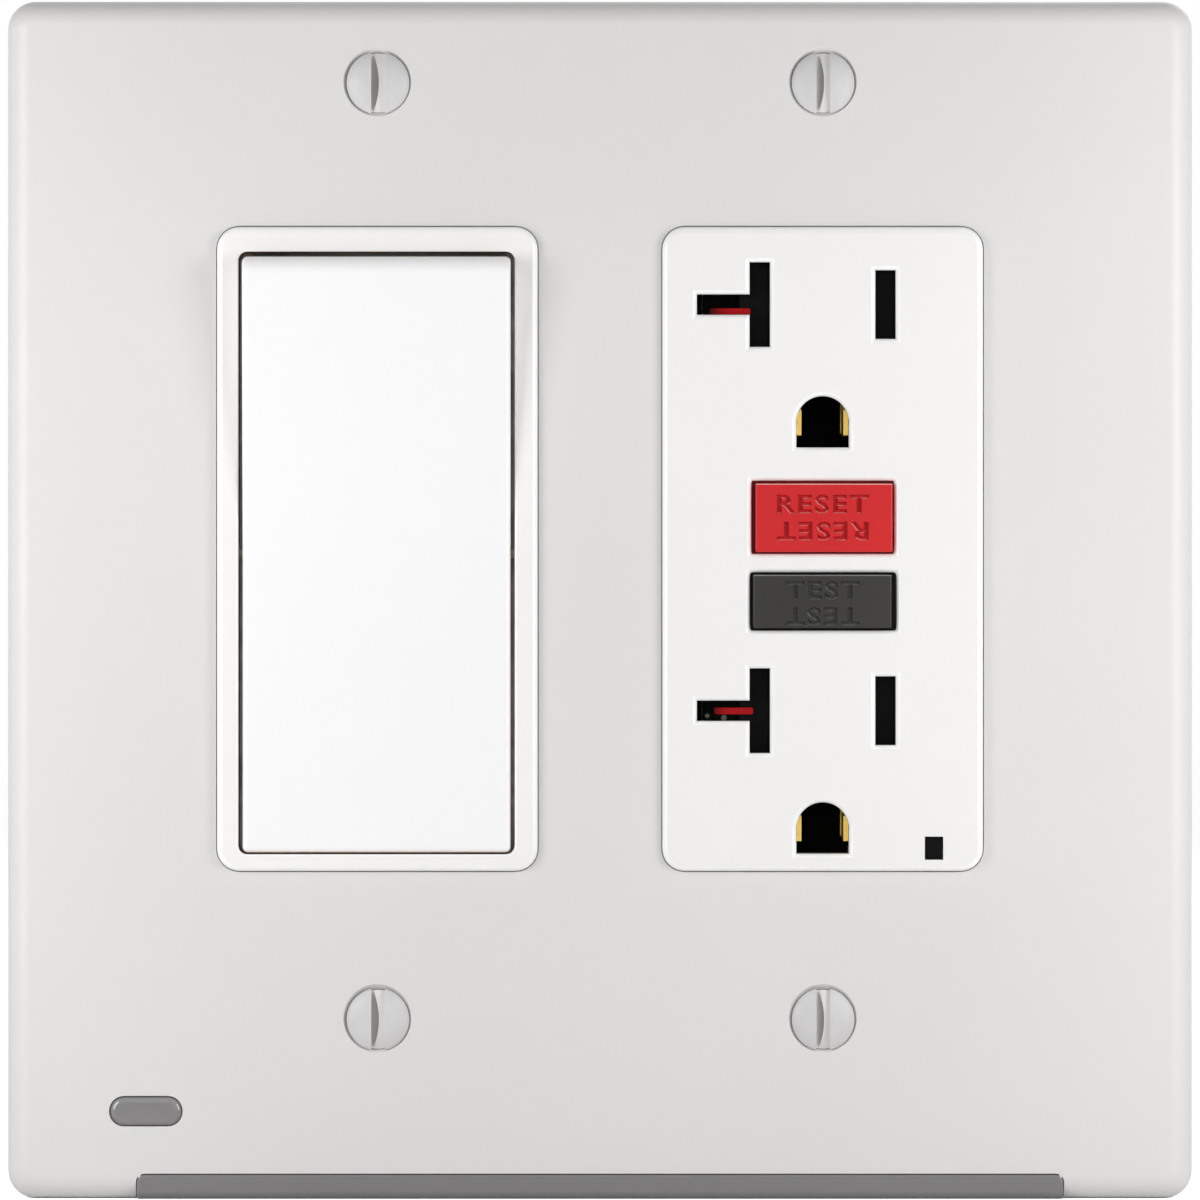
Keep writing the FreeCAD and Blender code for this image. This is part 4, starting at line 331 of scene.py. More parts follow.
def node(tree, kind, settings=None, **values):
    """Add a node with its settings and its input values, or links where a socket is given."""
    made = tree.nodes.new(kind)
    for key, value in (settings or {}).items():
        setattr(made, key, value)
    for label, value in values.items():
        feed(tree, made.inputs[label.replace("_", " ")], value)
    return made


def blend_colours(tree, factor, first, second):
    """Mix two colours: a colour mix has its factor at socket 0 and its colours at 6 and 7."""
    mix = tree.nodes.new("ShaderNodeMix")
    mix.data_type = "RGBA"
    for socket, value in ((0, factor), (6, first), (7, second)):
        feed(tree, mix.inputs[socket], value)
    return mix.outputs[2]


def spread(tree, value, low, high, start=0.0, end=1.0):
    """Map a value's range onto another."""
    ramp = tree.nodes.new("ShaderNodeMapRange")
    for socket, number in zip(ramp.inputs, (value, start, end, low, high)):
        feed(tree, socket, number)
    return ramp.outputs[0]


def arithmetic(tree, operation, first, second):
    """One sum on two values."""
    made = tree.nodes.new("ShaderNodeMath")
    made.operation = operation
    for socket, value in zip(made.inputs, (first, second)):
        feed(tree, socket, value)
    return made.outputs[0]


def noise(tree, where, scale, detail, **values):
    """A cloudy value that changes over the surface."""
    made = node(tree, "ShaderNodeTexNoise", Vector=where, Scale=scale, Detail=detail, **values)
    return made.outputs["Fac"]


def moulded_skin():
    """Moulded plastic: slow tone drift, fine specks, uneven gloss and a pebbled height."""
    tree = bpy.data.node_groups.new("moulded_skin", "ShaderNodeTree")
    sockets(tree, "INPUT", (
        ("Vector", "NodeSocketVector"),
        ("Colour", "NodeSocketColor", (0.8, 0.8, 0.8, 1)),
        ("Shade", "NodeSocketColor", (0.7, 0.7, 0.7, 1)),
        ("Drift", "NodeSocketFloat", 0.5),
        ("Drift Scale", "NodeSocketFloat", 40.0),
        ("Pebble Scale", "NodeSocketFloat", 2500.0),
        ("Roughness", "NodeSocketFloat", 0.4),
        ("Unevenness", "NodeSocketFloat", 0.05),
    ))
    sockets(tree, "OUTPUT", (
        ("Colour", "NodeSocketColor"),
        ("Roughness", "NodeSocketFloat"),
        ("Height", "NodeSocketFloat"),
    ))
    given = tree.nodes.new("NodeGroupInput").outputs
    drift = noise(tree, given["Vector"], given["Drift Scale"], 4.0)
    specks = noise(tree, given["Vector"], given["Pebble Scale"], 1.0)
    drifted = spread(tree, drift, 0.0, 1.0, 0.3, 0.7)
    amount = arithmetic(tree, "MULTIPLY", drifted, given["Drift"])
    colour = blend_colours(tree, amount, given["Colour"], given["Shade"])
    speckled = blend_colours(tree, spread(tree, specks, 0.0, 0.12, 0.62, 0.8), colour, given["Shade"])
    gloss = noise(tree, given["Vector"], arithmetic(tree, "MULTIPLY", given["Drift Scale"], 4.0), 6.0)
    low = arithmetic(tree, "SUBTRACT", given["Roughness"], given["Unevenness"])
    high = arithmetic(tree, "ADD", given["Roughness"], given["Unevenness"])
    rough = spread(tree, gloss, low, high, 0.3, 0.7)
    pebble = node(tree, "ShaderNodeTexVoronoi", {"feature": "SMOOTH_F1"}, Vector=given["Vector"],
                  Scale=given["Pebble Scale"])
    height = arithmetic(tree, "ADD", pebble.outputs["Distance"],
                        arithmetic(tree, "MULTIPLY", specks, 0.6))
    end = tree.nodes.new("NodeGroupOutput").inputs
    tree.links.new(speckled, end["Colour"])
    tree.links.new(rough, end["Roughness"])
    tree.links.new(height, end["Height"])
    return tree


def worked_metal():
    """Rolled or plated metal: stretched streaks, cloudy tarnish and uneven gloss."""
    tree = bpy.data.node_groups.new("worked_metal", "ShaderNodeTree")
    sockets(tree, "INPUT", (
        ("Vector", "NodeSocketVector"),
        ("Colour", "NodeSocketColor", (0.7, 0.7, 0.7, 1)),
        ("Tarnish", "NodeSocketColor", (0.4, 0.4, 0.4, 1)),
        ("Cloud", "NodeSocketFloat", 0.5),
        ("Cloud Scale", "NodeSocketFloat", 200.0),
        ("Streak Scale", "NodeSocketFloat", 900.0),
        ("Stretch", "NodeSocketVector", (1, 1, 0.06)),
        ("Roughness", "NodeSocketFloat", 0.3),
        ("Unevenness", "NodeSocketFloat", 0.1),
    ))
    sockets(tree, "OUTPUT", (
        ("Colour", "NodeSocketColor"),
        ("Roughness", "NodeSocketFloat"),
        ("Height", "NodeSocketFloat"),
    ))
    given = tree.nodes.new("NodeGroupInput").outputs
    along = tree.nodes.new("ShaderNodeVectorMath")
    along.operation = "MULTIPLY"
    tree.links.new(given["Vector"], along.inputs[0])
    tree.links.new(given["Stretch"], along.inputs[1])
    streaks = noise(tree, along.outputs[0], given["Streak Scale"], 5.0)
    clouds = noise(tree, given["Vector"], given["Cloud Scale"], 6.0, Roughness=0.65)
    spots = node(tree, "ShaderNodeTexVoronoi", Vector=given["Vector"],
                 Scale=arithmetic(tree, "MULTIPLY", given["Cloud Scale"], 3.0))
    cloud = spread(tree, clouds, 0.0, 1.0, 0.4, 0.72)
    amount = arithmetic(tree, "MULTIPLY", cloud, given["Cloud"])
    colour = blend_colours(tree, amount, given["Colour"], given["Tarnish"])
    lined = blend_colours(tree, spread(tree, streaks, 0.0, 0.3, 0.45, 0.8), colour, given["Tarnish"])
    low = arithmetic(tree, "SUBTRACT", given["Roughness"], given["Unevenness"])
    high = arithmetic(tree, "ADD", given["Roughness"], given["Unevenness"])
    mixed = arithmetic(tree, "ADD", arithmetic(tree, "MULTIPLY", streaks, 0.6),
                       arithmetic(tree, "MULTIPLY", spots.outputs["Distance"], 0.4))
    rough = spread(tree, mixed, low, high, 0.2, 0.7)
    end = tree.nodes.new("NodeGroupOutput").inputs
    tree.links.new(lined, end["Colour"])
    tree.links.new(rough, end["Roughness"])
    tree.links.new(streaks, end["Height"])
    return tree


def fine_scratches():
    """A mask of hair scratches in two directions."""
    tree = bpy.data.node_groups.new("fine_scratches", "ShaderNodeTree")
    sockets(tree, "INPUT", (
        ("Vector", "NodeSocketVector"),
        ("Scale", "NodeSocketFloat", 300.0),
        ("Amount", "NodeSocketFloat", 0.5),
    ))
    sockets(tree, "OUTPUT", (("Mask", "NodeSocketFloat"),))
    given = tree.nodes.new("NodeGroupInput").outputs
    masks = []
    for turn, stretch in ((0.5, (1, 1, 0.03)), (-0.9, (0.04, 1, 1))):
        mapping = node(tree, "ShaderNodeMapping", Vector=given["Vector"], Rotation=(0, turn, 0),
                       Scale=stretch)
        hairs = noise(tree, mapping.outputs[0], given["Scale"], 2.0)
        masks.append(spread(tree, hairs, 0.0, 1.0, 0.66, 0.72))
    both = arithmetic(tree, "MAXIMUM", *masks)
    end = tree.nodes.new("NodeGroupOutput").inputs
    tree.links.new(arithmetic(tree, "MULTIPLY", both, given["Amount"]), end["Mask"])
    return tree


# Finishes

MOULDED = moulded_skin()
METAL = worked_metal()
SCRATCHES = fine_scratches()
FINISHES = {}


def tone(red, green, blue):
    """A paint colour given as it looks on screen."""

    def channel(value):
        value = value / 255
        return value / 12.92 if value <= 0.04045 else ((value + 0.055) / 1.055) ** 2.4

    return (channel(red), channel(green), channel(blue), 1.0)


def start_material(name):
    """Start a finish, kept under its name: its nodes, its shader and its Object coordinates."""
    material = bpy.data.materials.new(name)
    FINISHES[name] = material
    material.use_nodes = True
    tree = material.node_tree
    tree.nodes.clear()
    shader = tree.nodes.new("ShaderNodeBsdfPrincipled")
    output = tree.nodes.new("ShaderNodeOutputMaterial")
    tree.links.new(shader.outputs[0], output.inputs[0])
    where = tree.nodes.new("ShaderNodeTexCoord").outputs["Object"]
    return tree, shader, where


def part_of(tree, vector, axis):
    """One axis of a vector."""
    return node(tree, "ShaderNodeSeparateXYZ", Vector=vector).outputs[axis]


def use_group(tree, group, **values):
    """Place a node group with its values."""
    return node(tree, "ShaderNodeGroup", {"node_tree": group}, **values).outputs


def bump(tree, shader, height, distance, strength=0.5):
    """Let a height tilt the surface, by a distance in millimetres."""
    made = node(tree, "ShaderNodeBump", Height=height, Distance=distance * MM, Strength=strength)
    tree.links.new(made.outputs[0], shader.inputs["Normal"])


def plastic(name, colour, shade, drift=0.4, drift_scale=40.0, pebble=2500.0, pebble_deep=0.004,
            rough=0.4, uneven=0.05, coat=0.0, coat_rough=0.1, scratches=0.0, shine=0.5, edge=None):
    """Moulded plastic. An edge colour, where one is given, is a painted highlight on what turns away
    from the front.
    """
    tree, shader, where = start_material(name)
    shader.inputs["Specular IOR Level"].default_value = shine
    skin = use_group(
        tree, MOULDED, Vector=where, Colour=tone(*colour), Shade=tone(*shade), Drift=drift,
        Drift_Scale=drift_scale, Pebble_Scale=pebble, Roughness=rough, Unevenness=uneven,
    )
    colour = skin["Colour"]
    # Painted highlight: faces that turn away from the front blend towards the lighter edge colour.
    if edge:
        normal = tree.nodes.new("ShaderNodeTexCoord").outputs["Normal"]
        facing = arithmetic(tree, "ABSOLUTE", part_of(tree, normal, "Y"), 0.0)
        edge_highlight = spread(tree, facing, 1.0, 0.0, 0.9, 0.99)
        colour = blend_colours(tree, edge_highlight, colour, tone(*edge))
    tree.links.new(colour, shader.inputs["Base Color"])
    roughness = skin["Roughness"]
    if scratches:
        marks = use_group(tree, SCRATCHES, Vector=where, Amount=scratches)["Mask"]
        roughness = arithmetic(tree, "ADD", roughness, marks)
    tree.links.new(roughness, shader.inputs["Roughness"])
    bump(tree, shader, skin["Height"], pebble_deep)
    shader.inputs["Coat Weight"].default_value = coat
    shader.inputs["Coat Roughness"].default_value = coat_rough


def metal(name, colour, tarnish, cloud=0.4, cloud_scale=200.0, streak=900.0, stretch=(1, 1, 0.06),
          rough=0.3, uneven=0.1, deep=0.004, metallic=1.0):
    """Metal with its streaks drawn out along the axis that has the smallest stretch."""
    tree, shader, where = start_material(name)
    skin = use_group(
        tree, METAL, Vector=where, Colour=tone(*colour), Tarnish=tone(*tarnish), Cloud=cloud,
        Cloud_Scale=cloud_scale, Streak_Scale=streak, Stretch=stretch, Roughness=rough,
        Unevenness=uneven,
    )
    tree.links.new(skin["Colour"], shader.inputs["Base Color"])
    tree.links.new(skin["Roughness"], shader.inputs["Roughness"])
    shader.inputs["Metallic"].default_value = metallic
    bump(tree, shader, skin["Height"], deep)


def green_board():
    """Solder mask over tracks, with bright pads."""
    tree, shader, where = start_material("board")
    turned_over = node(tree, "ShaderNodeMapping", Vector=where, Rotation=(math.radians(90), 0, 0))
    tracks = node(
        tree, "ShaderNodeTexBrick", Vector=turned_over.outputs[0], Scale=90.0, Mortar_Size=0.03,
        Color1=tone(22, 92, 52), Color2=tone(26, 100, 58), Mortar=tone(40, 128, 74),
    )
    cells = node(tree, "ShaderNodeTexVoronoi", Vector=where, Scale=420.0)
    pads = spread(tree, cells.outputs["Distance"], 1.0, 0.0, 0.1, 0.16)
    colour = blend_colours(tree, pads, tracks.outputs["Color"], tone(196, 196, 188))
    tree.links.new(colour, shader.inputs["Base Color"])
    tree.links.new(spread(tree, pads, 0.35, 0.25), shader.inputs["Roughness"])
    tree.links.new(pads, shader.inputs["Metallic"])
    bump(tree, shader, tracks.outputs["Fac"], 0.02)


def wound_coil():
    """Varnished copper wire in close turns."""
    tree, shader, where = start_material("coil")
    turns = node(
        tree, "ShaderNodeTexWave", {"bands_direction": "Z"}, Vector=where, Scale=900.0,
        Distortion=0.6, Detail=1.0,
    ).outputs["Fac"]
    colour = blend_colours(tree, turns, tone(96, 44, 20), tone(206, 122, 66))
    tree.links.new(colour, shader.inputs["Base Color"])
    tree.links.new(spread(tree, turns, 0.5, 0.28), shader.inputs["Roughness"])
    shader.inputs["Metallic"].default_value = 0.7
    bump(tree, shader, turns, 0.12, 0.8)


def red_slide():
    """Red plastic down in the slot, lost in shadow towards its left end."""
    tree, shader, where = start_material("red_slide")
    skin = use_group(
        tree, MOULDED, Vector=where, Colour=tone(178, 22, 28), Shade=tone(140, 16, 22),
        Drift_Scale=400.0, Roughness=0.5,
    )
    shade = spread(tree, part_of(tree, where, "X"), 0.85, 0.0, 11.4 * MM, 12.9 * MM)
    colour = blend_colours(tree, shade, skin["Colour"], tone(20, 6, 8))
    tree.links.new(colour, shader.inputs["Base Color"])
    tree.links.new(skin["Roughness"], shader.inputs["Roughness"])
    bump(tree, shader, skin["Height"], 0.002)
    shader.inputs["Specular IOR Level"].default_value = 0.1


DEVICE = dict(drift=0.6, pebble=1500.0, pebble_deep=0.001, uneven=0.03, coat=0.2)
SMOKED = dict(drift=0.5, drift_scale=25.0, pebble=900.0, pebble_deep=0.0006, uneven=0.03,
              coat_rough=0.04, scratches=0.06)
BUTTON = dict(drift=0.8, drift_scale=60.0, pebble=2200.0, pebble_deep=0.002, uneven=0.05)
LETTER = dict(drift=0.6, drift_scale=200.0)
GROOVE = dict(drift=0.7, drift_scale=300.0)

# The plate and what shows from the front. Smoked plastic has the tone that it takes over a dark hole.
plastic("plate_plastic", (226, 225, 223), (219, 217, 216), drift=0.5, drift_scale=22.0, pebble=3200.0,
        pebble_deep=0.006, rough=0.46, uneven=0.04)
# The edge colours of the device and face plastics are painted highlights on their rounded edges.
plastic("device_plastic", (249, 248, 247), (245, 243, 242), drift_scale=30.0, rough=0.22,
        edge=(255, 255, 254), **DEVICE)
plastic("face_plastic", (245, 244, 242), (240, 239, 237), drift_scale=30.0, rough=0.22,
        edge=(253, 253, 252), **DEVICE)
plastic("paddle_plastic", (254, 253, 253), (250, 249, 249), drift_scale=24.0, rough=0.24, **DEVICE)
plastic("smoked_lens", (124, 122, 123), (112, 110, 111), rough=0.16, coat=0.6, **SMOKED)
plastic("sensor_glass", (134, 132, 133), (118, 116, 117), rough=0.09, coat=1.0, **SMOKED)
plastic("red_button", (214, 43, 45), (200, 36, 40), rough=0.3, scratches=0.1, shine=0.3, **BUTTON)
plastic("dark_button", (62, 61, 59), (54, 53, 52), rough=0.36, scratches=0.12, shine=0.2, **BUTTON)
plastic("painted_screw", (217, 216, 216), (206, 204, 204), drift=0.6, drift_scale=240.0, pebble=1600.0,
        pebble_deep=0.004, rough=0.42, uneven=0.05, shine=0.35)

# Housings, shutters and what is on the board
plastic("black_plastic", (16, 16, 17), (11, 11, 12), drift=0.6, drift_scale=80.0, pebble=3000.0,
        pebble_deep=0.004, rough=0.5, uneven=0.06, shine=0.06)
plastic("housing_plastic", (214, 212, 205), (198, 195, 187), drift=0.7, drift_scale=35.0,
        pebble=2000.0, pebble_deep=0.012, rough=0.5, uneven=0.08)
plastic("cover_plastic", (224, 222, 219), (210, 208, 205), drift=0.6, drift_scale=30.0, pebble=2400.0,
        pebble_deep=0.009, rough=0.48, uneven=0.06)
plastic("capacitor", (176, 68, 36), (150, 52, 28), drift=0.9, drift_scale=260.0, pebble=900.0,
        pebble_deep=0.02, rough=0.28, uneven=0.06, coat=0.3)
plastic("emitter", (240, 222, 132), (228, 196, 92), drift=0.9, drift_scale=500.0, pebble=3500.0,
        pebble_deep=0.004, rough=0.22, uneven=0.05, coat=0.4)
plastic("cell", (112, 54, 44), (196, 150, 70), drift=0.9, drift_scale=900.0, pebble=2600.0,
        pebble_deep=0.006, rough=0.25, uneven=0.06, coat=0.5)
green_board()
wound_coil()
red_slide()

# Metals
metal("steel", (196, 197, 196), (150, 150, 148), cloud=0.55, cloud_scale=260.0, streak=700.0,
      stretch=(1, 1, 0.05), rough=0.34, uneven=0.1)
metal("spring_steel", (176, 177, 180), (120, 118, 116), streak=1600.0, stretch=(1, 0.2, 1),
      rough=0.26, uneven=0.08)
metal("brass", (255, 220, 126), (236, 190, 100), cloud=0.45, cloud_scale=320.0, streak=900.0,
      stretch=(1, 0.08, 1), rough=0.3, uneven=0.09, metallic=0.8)
metal("green_screw", (44, 128, 70), (24, 78, 44), cloud=0.7, cloud_scale=500.0, streak=1500.0,
      stretch=(1, 1, 1), rough=0.34, uneven=0.1, metallic=0.8)

# Second and third finishes of a piece: painted shade on the gap walls, painted shade and painted light
# in the screw slots, and for the cut letters painted shade on the red button, the dark button's own
# tone, and painted highlights
plastic("gap_painted_shade", (196, 146, 92), (176, 128, 78), rough=0.6, shine=0.1, **GROOVE)
plastic("slot_painted_shade", (205, 204, 202), (190, 189, 187), pebble=1800.0, pebble_deep=0.003, rough=0.5,
        shine=0.2, **GROOVE)
plastic("slot_painted_light", (236, 235, 234), (230, 229, 228), rough=0.42, shine=0.3, **GROOVE)
plastic("red_painted_shade", (186, 30, 36), (172, 26, 30), rough=0.35, shine=0.2, **LETTER)
plastic("red_painted_highlight", (255, 178, 176), (252, 162, 160), rough=0.3, shine=0.4, **LETTER)
plastic("dark_recess", (62, 61, 60), (54, 53, 52), rough=0.35, shine=0.3, **LETTER)
plastic("dark_painted_highlight", (140, 140, 138), (122, 122, 120), rough=0.3, shine=0.3, **LETTER)

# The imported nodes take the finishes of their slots
for name, cad in NODES.items():
    cad.data.materials.clear()
    cad.data.materials.append(FINISHES[SLOTS[name]])


# The mouth of a hole or slot: depths, and how far it has opened there

EASE = ((6.85, 0.0), (7.0, 0.04), (7.15, 0.13), (7.28, 0.26), (7.36, 0.38), (7.5, 0.66))
PLATE_EASE = ((6.4, 0.0), (6.45, 0.015), (6.48, 0.04), (6.5, 0.08), (6.7, 0.4))


def slot_cutter(name, left, right, low, high, corner=0.0, back=0.0, ease=EASE):
    """A cutter for a slot whose mouth opens out in a soft bevel."""
    cutter = block(name, left, right, back, ease[0][0], low, high)
    if corner:
        round_off(cutter, fore_and_aft, corner, 6)
    wide, tall = right - left, high - low
    centre = ((left + right) / 2 * MM, 0, (low + high) / 2 * MM)
    pick(cutter, "FACE", lambda f: f.normal.y < -0.99)
    for (was, opened), (now, opens) in zip(ease, ease[1:]):
        bpy.ops.mesh.extrude_region_move(TRANSFORM_OT_translate={"value": (0, (was - now) * MM, 0)})
        scale = ((wide + 2 * opens) / (wide + 2 * opened), 1, (tall + 2 * opens) / (tall + 2 * opened))
        bpy.ops.transform.resize(value=scale, center_override=centre)
    return close(cutter)


# The wall plate

POSTS_ACROSS = (-31.83, 0.0, 31.83)
POSTS_UP = -59.0
SCREW_PLACES = [(x, z) for x in (LEFT, RIGHT) for z in (-SCREW_UP, SCREW_UP)]


def wall_plate():
    """The moulded shell with rounded edges, two device openings, countersunk holes and rims behind."""
    low, high = (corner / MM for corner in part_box("wall_plate"))
    front = PLATE_FRONT
    plate = rounded_block("plate_shell", low.x, high.x, WALL, front, low.z, high.z, 2.9, 10)
    round_off(plate, at_depth(front), 2.4, 8)
    hollow(plate, wall=2.0, deep=4.3)
    back, inside = 1.8, 4.4
    rims = [
        rounded_block("rim", x - 17.9, x + 17.9, back, inside, -34.65, 34.65, 3.65)
        for x in (LEFT, RIGHT)
    ]
    ribs = [block("rib", -60.3, 60.3, back, inside, z - 0.6, z + 0.6) for z in (0.0, 22.2)]
    bosses = [rod("boss", x, inside, z, "in", 4.4, 2.6) for x, z in SCREW_PLACES]
    posts = [rod("post", x, inside, POSTS_UP, "in", 1.8, 2.0, 24) for x in POSTS_ACROSS]
    weld(plate, *rims, *ribs, *bosses, *posts)
    openings = [
        slot_cutter("opening", x - 16.66, x + 16.66, -33.25, 33.52, 2.4, -1.0, PLATE_EASE)
        for x in (LEFT, RIGHT)
    ]
    sink = [(-1.0, 3.9), (0.0, 3.62), (0.04, 3.53), (0.1, 3.5), (1.8, 1.95), (8.0, 1.95)]
    holes = [turned("hole", x, front, z, "in", sink, 64) for x, z in SCREW_PLACES]
    pilots = [rod("pilot", x, 4.3, POSTS_UP, "in", 0.9, 4.0, 16) for x in POSTS_ACROSS]
    sensor = slot_cutter("sensor_hole", -50.75, -43.17, -59.58, -56.46, 1.54, -1.0, PLATE_EASE)
    slot = slot_cutter("bar_slot", -48.0, 48.0, -80.0, -64.5, 0.9, 2.2, PLATE_EASE)
    carve(plate, *openings, *holes, *pilots, sensor, slot)
    tidy(plate)
    return finish_piece(smooth(plate), "plate_plastic", "wall_plate")


def plate_screws():
    """Four oval-head screws with cut threads, and upright slots that are deeper along their left, with
    painted shade in the groove and painted light on the slot floor.
    """
    core, crest = 1.42, 1.75
    pitch = 0.8
    stations = [
        (-7.38, 0.2), (-7.33, 1.0), (-7.2, 1.8), (-7.0, 2.42), (-6.76, 2.92), (-6.56, 3.18),
        (-6.46, 3.24), (-6.34, 3.2), (-4.7, 1.7), (-3.6, 1.7),
    ]
    depth = -3.6
    while depth < 7.6:
        stations += [
            (depth + 0.2, core), (depth + 0.4, core), (depth + 0.7, crest), (depth + pitch, crest),
        ]
        depth += pitch
    stations += [(8.6, core), (9.5, 0.9)]
    screw = turned("plate_screw", LEFT, 0, SCREW_UP, "in", stations, 64)
    slot = block("slot", LEFT - 0.7, LEFT + 0.72, 5.0, 9.0, 40.0, 56.0)
    bowl = [
        (-6.84, 0.2), (-6.8, 1.0), (-6.66, 1.8), (-6.46, 2.42), (-6.22, 2.92), (-6.0, 3.5), (-4.0, 3.6),
    ]
    carve(slot, turned("bowl", LEFT, 0, SCREW_UP, "in", bowl, 64))
    groove_floor = 6.25
    groove = block("groove", LEFT - 0.7, LEFT + 0.14, groove_floor, 7.0, 45.3, 51.5)
    bow = turned("bow", LEFT - 7.46, 5.0, SCREW_UP, "out", [(0, 7.56), (4, 7.56)], 256)
    combine(groove, "INTERSECT", [bow])
    carve(screw, slot, groove)
    smooth(screw, 40)
    pick(screw, "FACE", lambda f: True)
    bpy.ops.transform.translate(value=(0.06 * MM, 0, -0.1 * MM))
    close(screw)
    apart, drop = RIGHT - LEFT, -2 * SCREW_UP
    screws = [screw] + [
        copy(screw, "plate_screw", across, 0, up)
        for across, up in ((apart, 0), (0, drop), (apart, drop))
    ]
    whole = finish_piece(join("plate_screw_set", *screws), "painted_screw", "plate_screws")

    # Painted shade on the groove's floor and wall, and painted light, a lighter tone, on the rest of
    # the slot floor.
    def slot_part(face, x, depth, z):
        across = x - (LEFT if x < 0 else RIGHT)
        in_groove = same(depth, groove_floor) or abs(face.normal.x) > 0.9 and 6.2 < depth < 6.6
        if in_groove and -0.66 < across < 0.24:
            return 1
        on_floor = -0.6 < across < 0.74 and 6.0 < depth < 6.9 and face.normal.y < -0.3
        return 2 if on_floor else 0

    add_finishes(whole, ("slot_painted_shade", "slot_painted_light"), slot_part)


def light_bar():
    """The smoked lens along the plate's foot, its front rolled under with the plate's edge."""
    half, top = 47.92, -64.57
    bar = block("light_bar", -half, half, 2.3, PLATE_FRONT, -67.1, top)
    round_off(bar, lambda e: at_depth(PLATE_FRONT)(e) and max(place(e, 2)) < -67, 0.8, 6)
    combine(bar, "INTERSECT", [rounded_block("ends", -half, half, 1, 9, -80, top, 0.84, 8)])
    tidy(bar)

    def outline(edge):
        return edge.calc_face_angle(0) > 0.9 and min(-y for y in place(edge, 1)) > 2.4

    round_off(bar, outline, 0.2, 4)
    weld(bar, block("flange", -46.75, 46.75, 3.2, 4.2, -65.85, -62.8))
    return finish_piece(smooth(bar), "smoked_lens", "light_bar_lens")


def sensor_window():
    """The window over the photocell: a glossy pillow with a flange behind the plate."""
    front = 6.72
    window = rounded_block("sensor_window", -50.69, -43.23, 4.2, front, -59.52, -56.52, 1.48, 14)
    round_off(window, at_depth(front), 0.62, 8)
    flange = rounded_block("flange", -51.33, -42.07, 3.7, 4.3, -60.75, -55.65, 2.5, 10)
    weld(window, flange)
    return finish_piece(smooth(window, 60), "sensor_glass", "sensor_lens")


# What the switch and the receptacle share

DEVICE_BACK = 1.4


def device_front(name, middle):
    """The raised front that fills an opening of the plate."""
    front = rounded_block(
        name, middle - 16.58, middle + 16.58, DEVICE_BACK, DEVICE_FRONT, -33.17, 33.44, 2.32, 8
    )
    return round_off(front, at_depth(DEVICE_FRONT), 0.7, 5)


def shoulder(middle):
    """The thin ledge round a device's front, behind the plate."""
    return rounded_block(
        "shoulder", middle - 17.2, middle + 17.2, DEVICE_BACK, 1.75, -33.9, 33.9, 3.0
    )


# The rocker switch

def switch_bezel():
    """The frame round the rocker."""
    bezel = device_front("bezel", LEFT)
    weld(bezel, shoulder(LEFT))
    opening = rounded_block("opening", LEFT - 14.36, LEFT + 14.2, 0, 9, -31.42, 30.85, 0.9, 6)
    carve(bezel, opening)
    round_off(bezel, at_depth(DEVICE_FRONT), 0.3, 4)
    carve(bezel, rod("pivot", LEFT - 15.6, 4.4, -0.4, "right", 1.3, 31.2, 24))
    finish_piece(smooth(bezel), "device_plastic", "switch_bezel")

    # Painted shade: the walls of the gap round the rocker take a darker brown finish.
    def gap_painted_shade(face, x, depth, z):
        inside = abs(x - LEFT) < 14.4 and abs(z) < 31.5 and depth < 7.0
        return 1 if inside and abs(face.normal.y) < 0.05 else 0

    add_finishes(bezel, ["gap_painted_shade"], gap_painted_shade)


def rocker_paddle():
    """The rocker: a hollow shell with a faint fold, pressed in at its foot."""
    half, tall, fold = 13.86, 30.79, 3.0
    paddle = block("rocker", -half, half, -1.0, fold, -tall, tall)
    pick(paddle, "FACE", lambda f: True)
    bpy.ops.mesh.bisect(plane_co=(0, 0, 0), plane_no=(0, 0, 1))
    close(paddle)

    def end_edge(edge):
        at_fold = all(same(-y, fold) for y in place(edge, 1))
        return at_fold and all(abs(z) > tall - 1 for z in place(edge, 2))

    pick(paddle, "EDGE", end_edge)
    bpy.ops.transform.translate(value=(0, -1.62 * MM, 0))
    close(paddle)

    def front_end(side):
        def wanted(edge):
            in_front = all(-y > 4 for y in place(edge, 1))
            return in_front and all(z * side > tall - 1 for z in place(edge, 2))

        return wanted

    round_off(paddle, front_end(1), 1.8, 8)
    round_off(paddle, front_end(-1), 0.7, 5)

    def rim(edge):
        x = place(edge, 0)
        sides = same(abs(x[0]), half) and same(x[0], x[1]) and min(-y for y in place(edge, 1)) > -0.9
        return (sides or fore_and_aft(edge)) and edge.calc_face_angle(0) > 0.5

    round_off(paddle, rim, 0.55, 5)
    hollow(paddle, wall=1.6, deep=2.2)
    pin, neck, wide, bore = 1.25, 0.6, 2.9, 2.1
    tube = turned("tube", 0, 1.4, 0, "in", [(0, wide), (5.6, wide)])
    pins = turned("pins", -half - 1.6, 0, 0, "right", [
        (0, pin), (1.2, pin), (1.25, neck), (1.65, neck), (1.7, pin), (2 * half + 1.5, pin),
        (2 * half + 1.55, neck), (2 * half + 1.95, neck), (2 * half + 2.0, pin), (2 * half + 3.2, pin),
    ], 32)
    weld(paddle, tube, pins)
    pin_gap = block("pin_gap", -12.35, 12.35, -5.0, 1.2, -1.3, 1.3)
    carve(paddle, pin_gap, rod("bore", 0, 1.2, 0, "in", bore, 8.0))
    weld(paddle, turned("tube", 0, 1.25, 0, "in", [(0, wide), (5.45, wide)]))
    carve(paddle, rod("bore", 0, 1.2, 0, "in", bore, 8.0))
    smooth(paddle)
    only(paddle)
    paddle.rotation_euler = (math.radians(3), 0, 0)
    paddle.location = ((LEFT - 0.08) * MM, -4.4 * MM, -0.31 * MM)
    settle()
    return finish_piece(paddle, "paddle_plastic", "rocker_paddle")


# The receptacle

